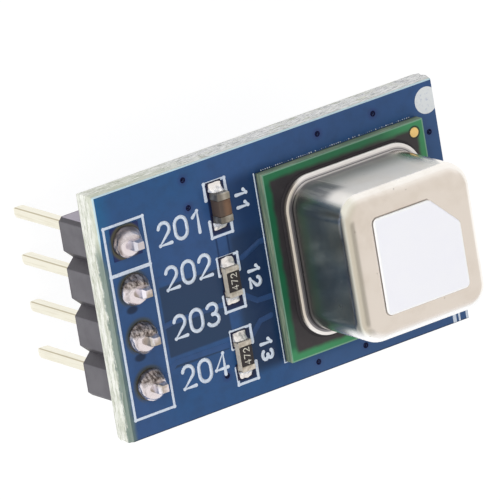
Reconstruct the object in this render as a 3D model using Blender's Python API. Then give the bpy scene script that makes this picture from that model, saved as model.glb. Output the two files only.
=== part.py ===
"""A carbon dioxide sensor module: a small carrier board with a four-pin header along one end,
three chip parts beside it and a metal-canned gas sensor that takes up the other half.

The origin is the middle of the header's underside, where the module seats on a socket or a
board. +Z points away from that board, +X runs from the header to the far end of the carrier
board, and +Y points to the first pin's edge. Lengths are in metres.
"""

import math

import bmesh
import bpy
from mathutils import Vector

mm = 0.001

# Clearance between pieces that touch
fit_gap = 0.02 * mm

# Header: square pins on a row along Y, moulded into one strip of eight-sided cells
pin_count = 4
pin_pitch = 2.54 * mm
pin_side = 0.54 * mm
pin_below_strip = 6.0 * mm
pin_above_board = 1.45 * mm
pin_tip_length = 0.3 * mm
pin_tip_side = 0.38 * mm
strip_height = 2.54 * mm
strip_width = 2.5 * mm
strip_corner_cut = 0.48 * mm
strip_end_trim = 0.28 * mm
strip_end_cut = 0.22 * mm

# Carrier board
board_length = 21.06 * mm
board_width = 13.0 * mm
board_thickness = 1.5 * mm
board_shift_y = 0.05 * mm
pin_row_to_edge = 1.5 * mm
score_depth = 0.42 * mm
score_slope_width = 0.11 * mm
copper_height = 0.035 * mm
header_drill = 1.02 * mm
header_pad = 1.72 * mm
via_drill = 0.3 * mm

# Solder joints of the header pins
joint_base_radius = 0.8 * mm
joint_height = 0.8 * mm
joint_top_radius = 0.48 * mm

# Chip parts, long side along Y, in one row
chip_to_sensor = 2.15 * mm
chip_pitch = 4.0 * mm
chip_row_shift_y = 0.0 * mm
chip_length = 1.6 * mm
chip_width = 0.8 * mm
chip_pad_length = 0.86 * mm
chip_pad_width = 0.92 * mm
chip_pad_centre = 0.86 * mm
chip_solder_reach = 0.4 * mm
chip_solder_edge = 0.03 * mm
capacitor_height = 0.82 * mm
capacitor_band = 0.37 * mm
capacitor_cap_wall = 0.03 * mm
capacitor_edge = 0.1 * mm
capacitor_solder_rise = 0.5 * mm
resistor_height = 0.46 * mm
resistor_band = 0.27 * mm
resistor_metal = 0.03 * mm
resistor_coating_height = 0.04 * mm
resistor_coating_inset = 0.02 * mm
resistor_solder_rise = 0.34 * mm

# Sensor: its own base board, with flat metal lands under it
sensor_side = 10.1 * mm
sensor_base_thickness = 0.58 * mm
sensor_to_far_edge = 1.29 * mm
sensor_shift_y = -0.19 * mm
land_height = 0.03 * mm
land_length = 0.8 * mm
land_width = 0.55 * mm
land_pitch = 1.25 * mm
lands_on_a_side = 5
land_to_edge = 0.35 * mm
centre_land_side = 4.8 * mm
centre_land_corner = 0.25 * mm
index_dot_diameter = 0.52 * mm
index_dot_height = 0.03 * mm
index_dot_to_edges = 0.6 * mm

# Drawn metal can
can_side = 7.9 * mm
can_height = 5.32 * mm
can_wall = 0.2 * mm
can_flange = 0.35 * mm
can_corner = 1.35 * mm
can_shoulder = 1.0 * mm
can_shift = (0.14 * mm, 0.07 * mm)
vent_diameter = 1.2 * mm
adhesive_height = 0.05 * mm
adhesive_overhang = 0.14 * mm
adhesive_inner_overhang = 0.1 * mm

# Filter membrane on the can's flat top
membrane_to_shoulder = 0.37 * mm
membrane_shift_y = 0.12 * mm
membrane_height = 0.14 * mm
membrane_corner_cut = 1.65 * mm
membrane_corner = 0.3 * mm
membrane_edge = 0.03 * mm

# Pieces inside the can, each at the middle of one quarter of the floor
emitter_side = 2.0 * mm
emitter_height = 0.65 * mm
filter_side = 1.4 * mm
filter_height = 0.16 * mm
microphone_length = 2.9 * mm
microphone_width = 2.2 * mm
microphone_height = 0.85 * mm
sound_port_diameter = 0.35 * mm
sound_port_depth = 0.3 * mm
humidity_side = 1.5 * mm
humidity_height = 0.5 * mm
humidity_window_diameter = 0.7 * mm
humidity_window_depth = 0.15 * mm
controller_side = 2.5 * mm
controller_height = 0.75 * mm
inner_piece_edge = 0.05 * mm

# Number of straight pieces that stand for a round form
round_steps = 16
via_steps = 10
corner_steps = 5
small_corner_steps = 2
shoulder_steps = 6
fillet_steps = 6

# Levels and places that follow from the sizes above
board_underside = strip_height + fit_gap
board_top = board_underside + board_thickness
board_near_x = -pin_row_to_edge
board_far_x = board_near_x + board_length
board_low_y = board_shift_y - board_width / 2
board_high_y = board_shift_y + board_width / 2
pad_top = board_top + copper_height
chip_level = pad_top + fit_gap
sensor_x = board_far_x - sensor_to_far_edge - sensor_side / 2
sensor_y = board_shift_y + sensor_shift_y
chip_row_x = sensor_x - sensor_side / 2 - chip_to_sensor - chip_width / 2
land_level = board_top + fit_gap
sensor_underside = land_level + land_height
sensor_top = sensor_underside + sensor_base_thickness
adhesive_level = sensor_top + fit_gap
can_level = adhesive_level + adhesive_height + fit_gap
can_top = can_level + can_height
membrane_side = can_side - 2 * can_shoulder - 2 * membrane_to_shoulder
can_quarter = (can_side - 2 * can_wall) / 4

# Small plated holes, placed from the board's nearest edges
via_places = [
    (board_near_x + 5.4 * mm, board_high_y - 0.69 * mm),
    (board_near_x + 5.46 * mm, board_high_y - 2.19 * mm),
    (board_near_x + 6.08 * mm, board_low_y + 1.62 * mm),
    (board_far_x - 9.44 * mm, board_low_y + 0.6 * mm),
    (board_far_x - 6.47 * mm, board_low_y + 0.55 * mm),
    (board_far_x - 7.29 * mm, board_high_y - 0.77 * mm),
    (board_far_x - 3.79 * mm, board_high_y - 0.75 * mm),
    (board_far_x - 0.57 * mm, board_high_y - 2.71 * mm),
]


def clear_scene():
    for thing in list(bpy.data.objects):
        bpy.data.objects.remove(thing, do_unlink=True)


def finish(name, colour, roughness, metallic=0.0):
    made = bpy.data.materials.new(name)
    made.use_nodes = True
    shader = made.node_tree.nodes["Principled BSDF"]
    shader.inputs["Base Color"].default_value = (*colour, 1.0)
    shader.inputs["Roughness"].default_value = roughness
    shader.inputs["Metallic"].default_value = metallic
    return made


def seat(name, place):
    """An empty that carries the pieces standing at one place."""
    empty = bpy.data.objects.new(name, None)
    empty.location = place
    bpy.context.scene.collection.objects.link(empty)
    return empty


def piece(name, form, material, parent, sharp_from=35):
    """One solid from a bmesh, in its parent's coordinates, shaded smooth where it is round."""
    if form.calc_volume(signed=True) < 0:
        bmesh.ops.reverse_faces(form, faces=form.faces)
    mesh = bpy.data.meshes.new(name)
    form.to_mesh(mesh)
    form.free()
    mesh.shade_smooth()
    mesh.set_sharp_from_angle(angle=math.radians(sharp_from))
    mesh.materials.append(material)
    made = bpy.data.objects.new(name, mesh)
    made.parent = parent
    bpy.context.scene.collection.objects.link(made)
    return made


def cutter(name, form, parent):
    """A helper solid for a Boolean, left out of the model itself."""
    made = piece(name, form, helper_finish, parent)
    made.hide_render = True
    made.display_type = "WIRE"
    return made


def combine(target, helper, operation):
    modifier = target.modifiers.new(helper.name, "BOOLEAN")
    modifier.operation = operation
    modifier.solver = "EXACT"
    modifier.object = helper


def soften(target, width, segments=2, angle=50):
    modifier = target.modifiers.new("softened_edges", "BEVEL")
    modifier.width = width
    modifier.segments = segments
    modifier.limit_method = "ANGLE"
    modifier.angle_limit = math.radians(angle)


def skin(form, rings, closed=False):
    """Faces between rings of equally many points. The end rings are capped, or joined."""
    rows = [[form.verts.new(point) for point in ring] for ring in rings]
    pairs = list(zip(rows, rows[1:]))
    if closed:
        pairs.append((rows[-1], rows[0]))
    else:
        form.faces.new(list(reversed(rows[0])))
        form.faces.new(rows[-1])
    for low, high in pairs:
        for i in range(len(low)):
            j = (i + 1) % len(low)
            form.faces.new((low[i], low[j], high[j], high[i]))
    return form


def raised(outline, z):
    return [Vector((x, y, z)) for x, y in outline]


def rounded_outline(width, depth, radius, steps=corner_steps):
    """A rectangle with round corners about the origin, anticlockwise."""
    radius = max(min(radius, width / 2, depth / 2), 0.01 * mm)
    points = []
    for turn, (sx, sy) in enumerate([(1, 1), (-1, 1), (-1, -1), (1, -1)]):
        cx = sx * (width / 2 - radius)
        cy = sy * (depth / 2 - radius)
        for step in range(steps + 1):
            angle = math.pi / 2 * (turn + step / steps)
            points.append((cx + radius * math.cos(angle), cy + radius * math.sin(angle)))
    return points


def circle_outline(radius, steps=round_steps, centre=(0, 0)):
    return [
        (
            centre[0] + radius * math.cos(2 * math.pi * i / steps),
            centre[1] + radius * math.sin(2 * math.pi * i / steps),
        )
        for i in range(steps)
    ]


def square_outline(side, steps=round_steps):
    """A square with as many points as a circle, so that the two can be joined."""
    points = []
    for x, y in circle_outline(1.0, steps):
        reach = side / 2 / max(abs(x), abs(y))
        points.append((x * reach, y * reach))
    return points


def rectangle(x0, x1, y0, y1):
    return [(x0, y0), (x1, y0), (x1, y1), (x0, y1)]


def prism(form, outline, low, high):
    return skin(form, [raised(outline, low), raised(outline, high)])


def block(width, depth, height):
    return prism(bmesh.new(), rectangle(-width / 2, width / 2, -depth / 2, depth / 2), 0, height)


def across(profile, width):
    """A profile of (y, z) points drawn out along X, to either side of the middle."""
    rings = [[Vector((x, y, z)) for y, z in profile] for x in (-width / 2, width / 2)]
    return skin(bmesh.new(), rings)


def pin_places():
    first = (pin_count - 1) / 2 * pin_pitch
    return [first - i * pin_pitch for i in range(pin_count)]


def build_strip(parent):
    """The moulded strip: eight-sided cells that meet between the pins, the end cells cut short."""
    half = strip_width / 2
    cell = pin_pitch / 2
    cut = min(strip_corner_cut, cell * 0.8)
    first, last = pin_places()[0], pin_places()[-1]
    end = cell - strip_end_trim
    side = [(half - strip_end_cut, last - end), (half, last - end + strip_end_cut)]
    for y in reversed(pin_places()[1:]):
        notch = y + cell
        side += [(half, notch - cut), (half - cut, notch), (half, notch + cut)]
    side += [(half, first + end - strip_end_cut), (half - strip_end_cut, first + end)]
    outline = side + [(-x, y) for x, y in reversed(side)]
    form = prism(bmesh.new(), outline, 0, strip_height)
    strip = piece("header_insulator", form, plastic_finish, parent)
    hole = pin_side / 2 + fit_gap
    holes = bmesh.new()
    for y in pin_places():
        prism(holes, rectangle(-hole, hole, y - hole, y + hole), -mm, strip_height + mm)
    combine(strip, cutter("strip_pin_holes", holes, parent), "DIFFERENCE")


def build_pins(parent):
    top = board_top + pin_above_board
    levels = [
        (-pin_below_strip, pin_tip_side),
        (-pin_below_strip + pin_tip_length, pin_side),
        (top - pin_tip_length, pin_side),
        (top, pin_tip_side),
    ]
    for number, y in enumerate(pin_places(), start=1):
        rings = [
            raised(rectangle(-side / 2, side / 2, y - side / 2, y + side / 2), z) for z, side in levels
        ]
        piece(f"header_pin_{number}", skin(bmesh.new(), rings), pin_finish, parent)


def build_joints(parent):
    """Solder that has run up each pin: a wide foot, round flanks and a narrow rim at the pin."""
    hole = pin_side + 2 * fit_gap
    rim = max(joint_top_radius, hole / math.sqrt(2) + fit_gap)
    level = pad_top + fit_gap
    flanks = []
    for step in range(fillet_steps + 1):
        angle = math.pi / 2 * step / fillet_steps
        radius = rim + (joint_base_radius - rim) * math.cos(angle) ** 0.8
        flanks.append((radius, joint_height * math.sin(angle) ** 1.15))
    for number, y in enumerate(pin_places(), start=1):
        rings = [raised(circle_outline(radius), level + z) for radius, z in flanks]
        rings.append(raised(square_outline(hole), level + joint_height))
        rings.append(raised(square_outline(hole), level))
        for ring in rings:
            for point in ring:
                point.y += y
        piece(f"header_solder_{number}", skin(bmesh.new(), rings, closed=True), solder_finish, parent)


def chip_places():
    """Centres of the chip parts, the capacitor first."""
    return [(chip_row_x, chip_row_shift_y + chip_pitch * (1 - i)) for i in range(3)]


def build_board(parent):
    """The board's edges are scored on both faces, so the middle of each edge stands proud."""
    levels = [
        (board_underside, 0.0),
        (board_underside + score_depth, score_slope_width),
        (board_top - score_depth, score_slope_width),
        (board_top, 0.0),
    ]
    rings = [
        raised(
            rectangle(board_near_x - out, board_far_x + out, board_low_y - out, board_high_y + out), z
        )
        for z, out in levels
    ]
    board = piece("carrier_board", skin(bmesh.new(), rings), board_finish, parent, sharp_from=10)

    pads = bmesh.new()
    sunk = board_top - board_thickness / 4
    for number, y in enumerate(pin_places()):
        square = rectangle(-header_pad / 2, header_pad / 2, y - header_pad / 2, y + header_pad / 2)
        outline = square if number == 0 else circle_outline(header_pad / 2, round_steps, (0, y))
        prism(pads, outline, sunk, pad_top)
    for x, y in chip_places():
        for end in (-1, 1):
            middle = y + end * chip_pad_centre
            outline = rectangle(
                x - chip_pad_width / 2,
                x + chip_pad_width / 2,
                middle - chip_pad_length / 2,
                middle + chip_pad_length / 2,
            )
            prism(pads, outline, sunk, pad_top)
    combine(board, cutter("board_pads", pads, parent), "UNION")

    drills = bmesh.new()
    for y in pin_places():
        prism(drills, circle_outline(header_drill / 2, round_steps, (0, y)), 0, 2 * board_top)
    for place in via_places:
        prism(drills, circle_outline(via_drill / 2, via_steps, place), 0, 2 * board_top)
    combine(board, cutter("board_drills", drills, parent), "DIFFERENCE")


def end_section(y, width, height, radius, base):
    """A round-cornered section across Y, its underside at the given level."""
    outline = rounded_outline(width, height, radius, small_corner_steps)
    return [Vector((x, y, base + height / 2 + z)) for x, z in outline]


def build_capacitor(parent):
    """A ceramic block whose stepped ends sit in two metal end caps."""
    half = chip_length / 2
    neck_shrink = 2 * (capacitor_cap_wall + fit_gap)
    neck_width = chip_width - neck_shrink
    neck_height = capacitor_height - neck_shrink
    neck_base = capacitor_cap_wall + fit_gap
    body_end = half - capacitor_band - fit_gap
    neck_end = half - capacitor_cap_wall - fit_gap
    body_width = chip_width - fit_gap
    body_height = capacitor_height - fit_gap
    body_base = fit_gap / 2

    def neck(y):
        return end_section(y, neck_width, neck_height, capacitor_edge, neck_base)

    def body(y):
        return end_section(y, body_width, body_height, capacitor_edge, body_base)

    rings = [neck(-neck_end), neck(-body_end), body(-body_end)]
    rings += [body(body_end), neck(body_end), neck(neck_end)]
    piece("capacitor_body", skin(bmesh.new(), rings), ceramic_brown_finish, parent)

    inner_width = chip_width - 2 * capacitor_cap_wall
    inner_height = capacitor_height - 2 * capacitor_cap_wall
    for number, end in enumerate((1, -1), start=1):
        floor = end * (half - capacitor_cap_wall)
        rim = end * (half - capacitor_band)
        rings = [
            end_section(floor, inner_width, inner_height, capacitor_edge, capacitor_cap_wall),
            end_section(rim, inner_width, inner_height, capacitor_edge, capacitor_cap_wall),
            end_section(rim, chip_width, capacitor_height, capacitor_edge, 0),
            end_section(end * (half - capacitor_edge / 2), chip_width, capacitor_height, capacitor_edge, 0),
            end_section(
                end * half,
                chip_width - capacitor_edge,
                capacitor_height - capacitor_edge,
                capacitor_edge,
                capacitor_edge / 2,
            ),
        ]
        piece(f"capacitor_end_{number}", skin(bmesh.new(), rings), tin_finish, parent)
    build_chip_solder("capacitor", capacitor_solder_rise, parent)


def build_resistor(name, parent):
    """A white ceramic plate with wrapped metal ends and a dark coat over its middle."""
    half = chip_length / 2
    base_length = chip_length - 2 * (resistor_metal + fit_gap)
    base_height = resistor_height - 2 * (resistor_metal + fit_gap)
    base = piece(
        f"{name}_ceramic",
        block(chip_width - fit_gap, base_length, base_height),
        ceramic_white_finish,
        parent,
    )
    base.location.z = resistor_metal + fit_gap
    coat_length = chip_length - 2 * (resistor_band + fit_gap)
    coat = piece(
        f"{name}_coating",
        block(chip_width - 2 * resistor_coating_inset, coat_length, resistor_coating_height),
        coating_finish,
        parent,
    )
    coat.location.z = resistor_metal + 2 * fit_gap + base_height
    soften(coat, resistor_coating_height / 3, 1)
    for number, end in enumerate((1, -1), start=1):
        lip = half - resistor_band
        wall = half - resistor_metal
        top = resistor_height
        under_lip = top - resistor_metal
        profile = [(lip, 0), (half, 0), (half, top), (lip, top)]
        profile += [(lip, under_lip), (wall, under_lip), (wall, resistor_metal), (lip, resistor_metal)]
        profile = [(end * y, z) for y, z in profile]
        piece(f"{name}_end_{number}", across(profile, chip_width), tin_finish, parent)
    build_chip_solder(name, resistor_solder_rise, parent)


def build_chip_solder(name, rise, parent):
    """The hollow-curved solder that runs from each metal end down to its pad."""
    start = chip_length / 2 + fit_gap
    for number, end in enumerate((1, -1), start=1):
        profile = [(end * start, 0)]
        for step in range(fillet_steps + 1):
            along = 1 - step / fillet_steps
            height = chip_solder_edge + (rise - chip_solder_edge) * (1 - along) ** 2
            profile.append((end * (start + along * chip_solder_reach), height))
        profile.insert(1, (end * (start + chip_solder_reach), 0))
        piece(f"{name}_solder_{number}", across(profile, chip_width), solder_finish, parent)


def build_chips(parent):
    names = ["capacitor", "resistor_2", "resistor_1"]
    for name, (x, y) in zip(names, chip_places()):
        place = seat(f"{name}_seat", (x, y, chip_level))
        place.parent = parent
        if name == "capacitor":
            build_capacitor(place)
        else:
            build_resistor(name, place)


def build_sensor_base(parent):
    """The sensor's own board. The flat lands that are soldered down stand just proud of it."""
    half = sensor_side / 2
    base = piece(
        "sensor_base",
        prism(bmesh.new(), rectangle(-half, half, -half, half), sensor_underside, sensor_top),
        sensor_base_finish,
        parent,
        sharp_from=10,
    )
    lands = bmesh.new()
    sunk = sensor_underside + sensor_base_thickness / 4
    prism(
        lands,
        rounded_outline(centre_land_side, centre_land_side, centre_land_corner, small_corner_steps),
        land_level,
        sunk,
    )
    reach = half - land_to_edge - land_length / 2
    for i in range(lands_on_a_side):
        along = (i - (lands_on_a_side - 1) / 2) * land_pitch
        for sign in (-1, 1):
            a = sign * reach - land_length / 2
            b = sign * reach + land_length / 2
            c = along - land_width / 2
            d = along + land_width / 2
            prism(lands, rectangle(a, b, c, d), land_level, sunk)
            prism(lands, rectangle(c, d, a, b), land_level, sunk)
    combine(base, cutter("sensor_lands", lands, parent), "UNION")

    corner = half - index_dot_to_edges
    place = (corner, corner)
    floor = sensor_top - index_dot_height - fit_gap
    opening = circle_outline(index_dot_diameter / 2 + fit_gap, round_steps, place)
    recess = prism(bmesh.new(), opening, floor, sensor_top + mm)
    combine(base, cutter("index_recess", recess, parent), "DIFFERENCE")
    disc = circle_outline(index_dot_diameter / 2, round_steps, place)
    mark = piece("index_dot", prism(bmesh.new(), disc, 0, index_dot_height), gold_finish, parent)
    mark.location.z = floor + fit_gap


def can_section(inset, level):
    """The can's outline drawn in by an inset, at a height above its foot."""
    side = can_side - 2 * inset
    return raised(rounded_outline(side, side, can_corner - inset), level)


def vent_section(level):
    """The vent hole's edge, with one point for each point of the can's outline."""
    radius = vent_diameter / 2
    points = []
    for x, y in rounded_outline(can_side, can_side, can_corner):
        angle = math.atan2(y, x)
        points.append(Vector((radius * math.cos(angle), radius * math.sin(angle), level)))
    return points


def shoulder_sections(radius, wall_inset, top):
    """Sections up a round shoulder, from the wall to the flat top."""
    sections = []
    for step in range(shoulder_steps + 1):
        angle = math.pi / 2 * step / shoulder_steps
        inset = wall_inset + radius * (1 - math.cos(angle))
        sections.append(can_section(inset, top - radius * (1 - math.sin(angle))))
    return sections


def build_can(parent):
    """A sheet drawn into a can: flat top, round shoulders, upright walls and a turned-out foot."""
    outer = shoulder_sections(can_shoulder, 0.0, can_height)
    inner_radius = max(can_shoulder - can_wall, can_wall / 4)
    inner = shoulder_sections(inner_radius, can_wall, can_height - can_wall)
    foot = [
        can_section(can_wall, 0.0),
        can_section(-can_flange, 0.0),
        can_section(-can_flange, can_wall * 0.85),
        can_section(-can_flange + can_wall * 0.15, can_wall),
        can_section(-can_wall * 0.3, can_wall),
        can_section(-can_wall * 0.09, can_wall * 1.21),
        can_section(0.0, can_wall * 1.5),
    ]
    rings = foot + outer + [vent_section(can_height), vent_section(can_height - can_wall)]
    rings += list(reversed(inner))
    can = piece("sensor_can", skin(bmesh.new(), rings, closed=True), nickel_finish, parent, sharp_from=40)
    can.location = (can_shift[0], can_shift[1], can_level)


def build_adhesive(parent):
    """A thin bead under the can's foot, a little wider than the foot on either side."""
    outer = -can_flange - adhesive_overhang
    inner = can_wall + adhesive_inner_overhang
    rings = [
        can_section(inner, 0.0),
        can_section(outer, 0.0),
        can_section(outer + adhesive_height / 2, adhesive_height),
        can_section(inner - adhesive_height / 2, adhesive_height),
    ]
    bead = piece("can_adhesive", skin(bmesh.new(), rings, closed=True), adhesive_finish, parent)
    bead.location = (can_shift[0], can_shift[1], adhesive_level)


def membrane_outline():
    """A square with three small round corners and the corner towards the index dot cut off."""
    half = membrane_side / 2
    cut = min(membrane_corner_cut, half)
    ease = min(membrane_corner, cut) / 3
    points = []
    for x, y in rounded_outline(membrane_side, membrane_side, membrane_corner):
        if x < half - cut or y < half - cut:
            points.append((x, y))
    along = ease / math.sqrt(2)
    points = [(half, half - cut - ease), (half - along, half - cut + along)] + [
        (half - cut + along, half - along),
        (half - cut - ease, half),
    ] + points
    return points


def build_membrane(parent):
    form = prism(bmesh.new(), membrane_outline(), 0, membrane_height)
    membrane = piece("filter_membrane", form, membrane_finish, parent)
    membrane.location = (can_shift[0], can_shift[1] + membrane_shift_y, can_top + fit_gap)
    soften(membrane, membrane_edge, 1)


def inner_piece(name, form, material, parent, quarter, lift=0.0):
    """A piece on the can's floor, in the quarter given by two signs."""
    made = piece(name, form, material, parent)
    made.location = (
        can_shift[0] + quarter[0] * can_quarter,
        can_shift[1] + quarter[1] * can_quarter,
        sensor_top + fit_gap + lift,
    )
    return made


def sink_hole(target, diameter, depth, height):
    """A round blind hole in the middle of a piece's top."""
    form = prism(bmesh.new(), circle_outline(diameter / 2), height - depth, height + mm)
    combine(target, cutter(f"{target.name}_hole", form, target), "DIFFERENCE")


def build_inside(parent):
    """What the sensor needs under its can: a lamp with its filter, an ear and two chips."""
    lamp_form = block(emitter_side, emitter_side, emitter_height)
    lamp = inner_piece("infrared_emitter", lamp_form, package_finish, parent, (-1, 1))
    soften(lamp, inner_piece_edge, 1)
    inner_piece(
        "optical_filter",
        block(filter_side, filter_side, filter_height),
        filter_finish,
        parent,
        (-1, 1),
        emitter_height + fit_gap,
    )
    ear_form = block(microphone_width, microphone_length, microphone_height)
    ear = inner_piece("microphone", ear_form, microphone_finish, parent, (1, -1))
    sink_hole(ear, sound_port_diameter, sound_port_depth, microphone_height)
    climate_form = block(humidity_side, humidity_side, humidity_height)
    climate = inner_piece("humidity_sensor", climate_form, package_finish, parent, (1, 1))
    sink_hole(climate, humidity_window_diameter, humidity_window_depth, humidity_height)
    controller_form = block(controller_side, controller_side, controller_height)
    controller = inner_piece("controller_chip", controller_form, package_finish, parent, (-1, -1))
    soften(controller, inner_piece_edge, 1)


clear_scene()

helper_finish = finish("helper", (0.8, 0.8, 0.8), 0.8)
board_finish = finish("blue_solder_mask", (0.026, 0.07, 0.22), 0.32)
plastic_finish = finish("dark_header_plastic", (0.13, 0.125, 0.135), 0.45)
pin_finish = finish("flash_gold_pin", (0.87, 0.82, 0.68), 0.25, 1.0)
solder_finish = finish("tin_solder", (0.78, 0.78, 0.8), 0.25, 1.0)
tin_finish = finish("matte_tin", (0.6, 0.58, 0.54), 0.4, 1.0)
ceramic_brown_finish = finish("brown_ceramic", (0.22, 0.115, 0.065), 0.5)
ceramic_white_finish = finish("white_ceramic", (0.6, 0.57, 0.52), 0.6)
coating_finish = finish("black_coating", (0.02, 0.018, 0.018), 0.4)
sensor_base_finish = finish("green_solder_mask", (0.02, 0.21, 0.08), 0.35)
gold_finish = finish("gold_plate", (0.9, 0.6, 0.22), 0.3, 1.0)
nickel_finish = finish("nickel_silver", (0.73, 0.68, 0.61), 0.2, 1.0)
adhesive_finish = finish("dark_adhesive", (0.045, 0.04, 0.042), 0.5)
membrane_finish = finish("white_membrane", (0.88, 0.87, 0.93), 0.8)
package_finish = finish("black_package", (0.03, 0.03, 0.032), 0.5)
filter_finish = finish("coated_window", (0.25, 0.18, 0.3), 0.1, 0.6)
microphone_finish = finish("metal_lid", (0.75, 0.7, 0.55), 0.3, 1.0)

module = seat("module", (0, 0, 0))
build_strip(module)
build_pins(module)
build_board(module)
build_joints(module)
build_chips(module)
sensor = seat("sensor_seat", (sensor_x, sensor_y, 0))
sensor.parent = module
build_sensor_base(sensor)
build_adhesive(sensor)
build_can(sensor)
build_membrane(sensor)
build_inside(sensor)
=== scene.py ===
"""The finish of a carbon dioxide sensor module: a blue carrier board with a four-pin header,
three chip parts and a metal-canned gas sensor.

The construction is loaded first and stays as it is. Each operator dresses one group of its
pieces and the last one sets the stage. Lengths are in metres, in the construction's own frame:
+X runs from the header to the far end of the board, +Y to the first pin, +Z away from the pins.
"""

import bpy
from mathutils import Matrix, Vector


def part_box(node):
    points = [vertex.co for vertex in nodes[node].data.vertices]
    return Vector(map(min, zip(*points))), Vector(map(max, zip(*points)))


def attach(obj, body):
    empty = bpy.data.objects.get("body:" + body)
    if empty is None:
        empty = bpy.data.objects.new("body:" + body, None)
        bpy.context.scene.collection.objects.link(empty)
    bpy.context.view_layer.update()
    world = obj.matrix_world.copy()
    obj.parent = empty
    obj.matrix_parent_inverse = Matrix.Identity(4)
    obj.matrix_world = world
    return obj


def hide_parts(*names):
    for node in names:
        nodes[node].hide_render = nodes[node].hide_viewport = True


bl_info = {
    "name": "Gas Sensor Module Finish",
    "version": (1, 0, 0),
    "blender": (4, 5, 0),
    "location": "3D View > Sidebar > Sensor Module",
    "description": "Dresses a canned gas sensor on its carrier board and lights it for a picture",
    "category": "Object",
}

import math

import bmesh
import bpy
from bpy.props import FloatProperty, FloatVectorProperty, IntProperty, PointerProperty
from mathutils import Matrix, Vector, noise

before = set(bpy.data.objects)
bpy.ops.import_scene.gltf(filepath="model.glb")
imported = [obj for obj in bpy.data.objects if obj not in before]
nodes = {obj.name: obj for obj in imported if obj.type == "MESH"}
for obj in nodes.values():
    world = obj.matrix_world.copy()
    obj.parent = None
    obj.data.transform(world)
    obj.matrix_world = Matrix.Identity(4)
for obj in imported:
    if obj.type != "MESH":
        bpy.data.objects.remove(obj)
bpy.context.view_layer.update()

mm = 0.001
hair = 0.004 * mm
body = "root"

# Sizes of the construction that its boxes alone don't give
copper_height = 0.035 * mm
score_depth = 0.42 * mm
score_slope_width = 0.11 * mm
pin_side = 0.54 * mm
via_drill = 0.3 * mm
can_wall = 0.2 * mm
can_flange = 0.35 * mm
can_corner = 1.35 * mm
can_shoulder = 1.0 * mm
vent_diameter = 1.2 * mm
membrane_cut = 1.65 * mm
membrane_corner = 0.3 * mm

# Levels and edges read from the construction
board_low, board_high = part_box("carrier_board")
board_top = board_high.z - copper_height
board_underside = board_low.z
face_low = Vector((board_low.x + score_slope_width, board_low.y + score_slope_width, board_top))
face_high = Vector((board_high.x - score_slope_width, board_high.y - score_slope_width, board_top))
base_low, base_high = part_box("sensor_base")
can_low, can_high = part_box("sensor_can")
can_middle = (can_low + can_high) / 2
can_side = can_high.x - can_low.x - 2 * can_flange
can_reach = can_side / 2
can_bend = can_high.z - can_shoulder
flange_top = can_low.z + can_wall
pin_rows = [(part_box(f"header_pin_{i}")[0].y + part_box(f"header_pin_{i}")[1].y) / 2 for i in (1, 2, 3, 4)]
pin_pitch = pin_rows[0] - pin_rows[1]

# Printed frames round the capacitor and the two resistors, each by its lower and upper corner
chip_frames = [
    ((5.06 * mm, 2.4 * mm), (6.33 * mm, 5.27 * mm)),
    ((5.13 * mm, -1.62 * mm), (6.35 * mm, 1.25 * mm)),
    ((5.18 * mm, -5.52 * mm), (6.4 * mm, -2.68 * mm)),
]

# Where the mask lies on bare laminate: lower corner, upper corner and how soft the edge is
bare_patches = [
    ((1.45 * mm, -2.88 * mm), (5.3 * mm, 0.85 * mm), 0.06 * mm),
    ((6.0 * mm, -5.2 * mm), (8.1 * mm, 2.2 * mm), 0.3 * mm),
    ((1.45 * mm, -3.5 * mm), (5.0 * mm, -3.3 * mm), 0.06 * mm),
]

# Narrow gaps between tracks below the capacitor, each by its lower and upper corner
track_gaps = [
    ((5.22 * mm, 1.3 * mm), (5.32 * mm, 2.35 * mm)),
    ((5.9 * mm, 1.3 * mm), (6.0 * mm, 2.35 * mm)),
]

# Darker gaps in the ceiling that metal mirrors: direction, cosines at the rim and core, depth
sky_gaps = [
    ((-0.737, -0.294, 0.608), 0.955, 0.99, 1.0),
    ((-0.4, -0.81, 0.43), 0.93, 0.99, 0.7),
    ((-0.72, -0.12, 0.684), 0.985, 0.998, 1.2),
]


def paint(red, green, blue):
    """A colour as a screen shows it, from 0 to 255, turned into the values that sockets take."""

    def channel(level):
        level /= 255
        return level / 12.92 if level <= 0.04045 else ((level + 0.055) / 1.055) ** 2.4

    return channel(red), channel(green), channel(blue)


def size_input(name, description, default):
    return FloatProperty(
        name=name,
        description=description,
        default=default,
        min=0.0,
        precision=5,
        subtype="DISTANCE",
        unit="LENGTH",
    )


def share_input(name, description, default):
    return FloatProperty(
        name=name, description=description, default=default, min=0.0, max=1.0, subtype="FACTOR"
    )


def power_input(name, description, default):
    return FloatProperty(name=name, description=description, default=default, unit="POWER")


def colour_input(name, description, default):
    return FloatVectorProperty(
        name=name, description=description, default=default, min=0.0, max=1.0, size=3, subtype="COLOR"
    )


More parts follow.
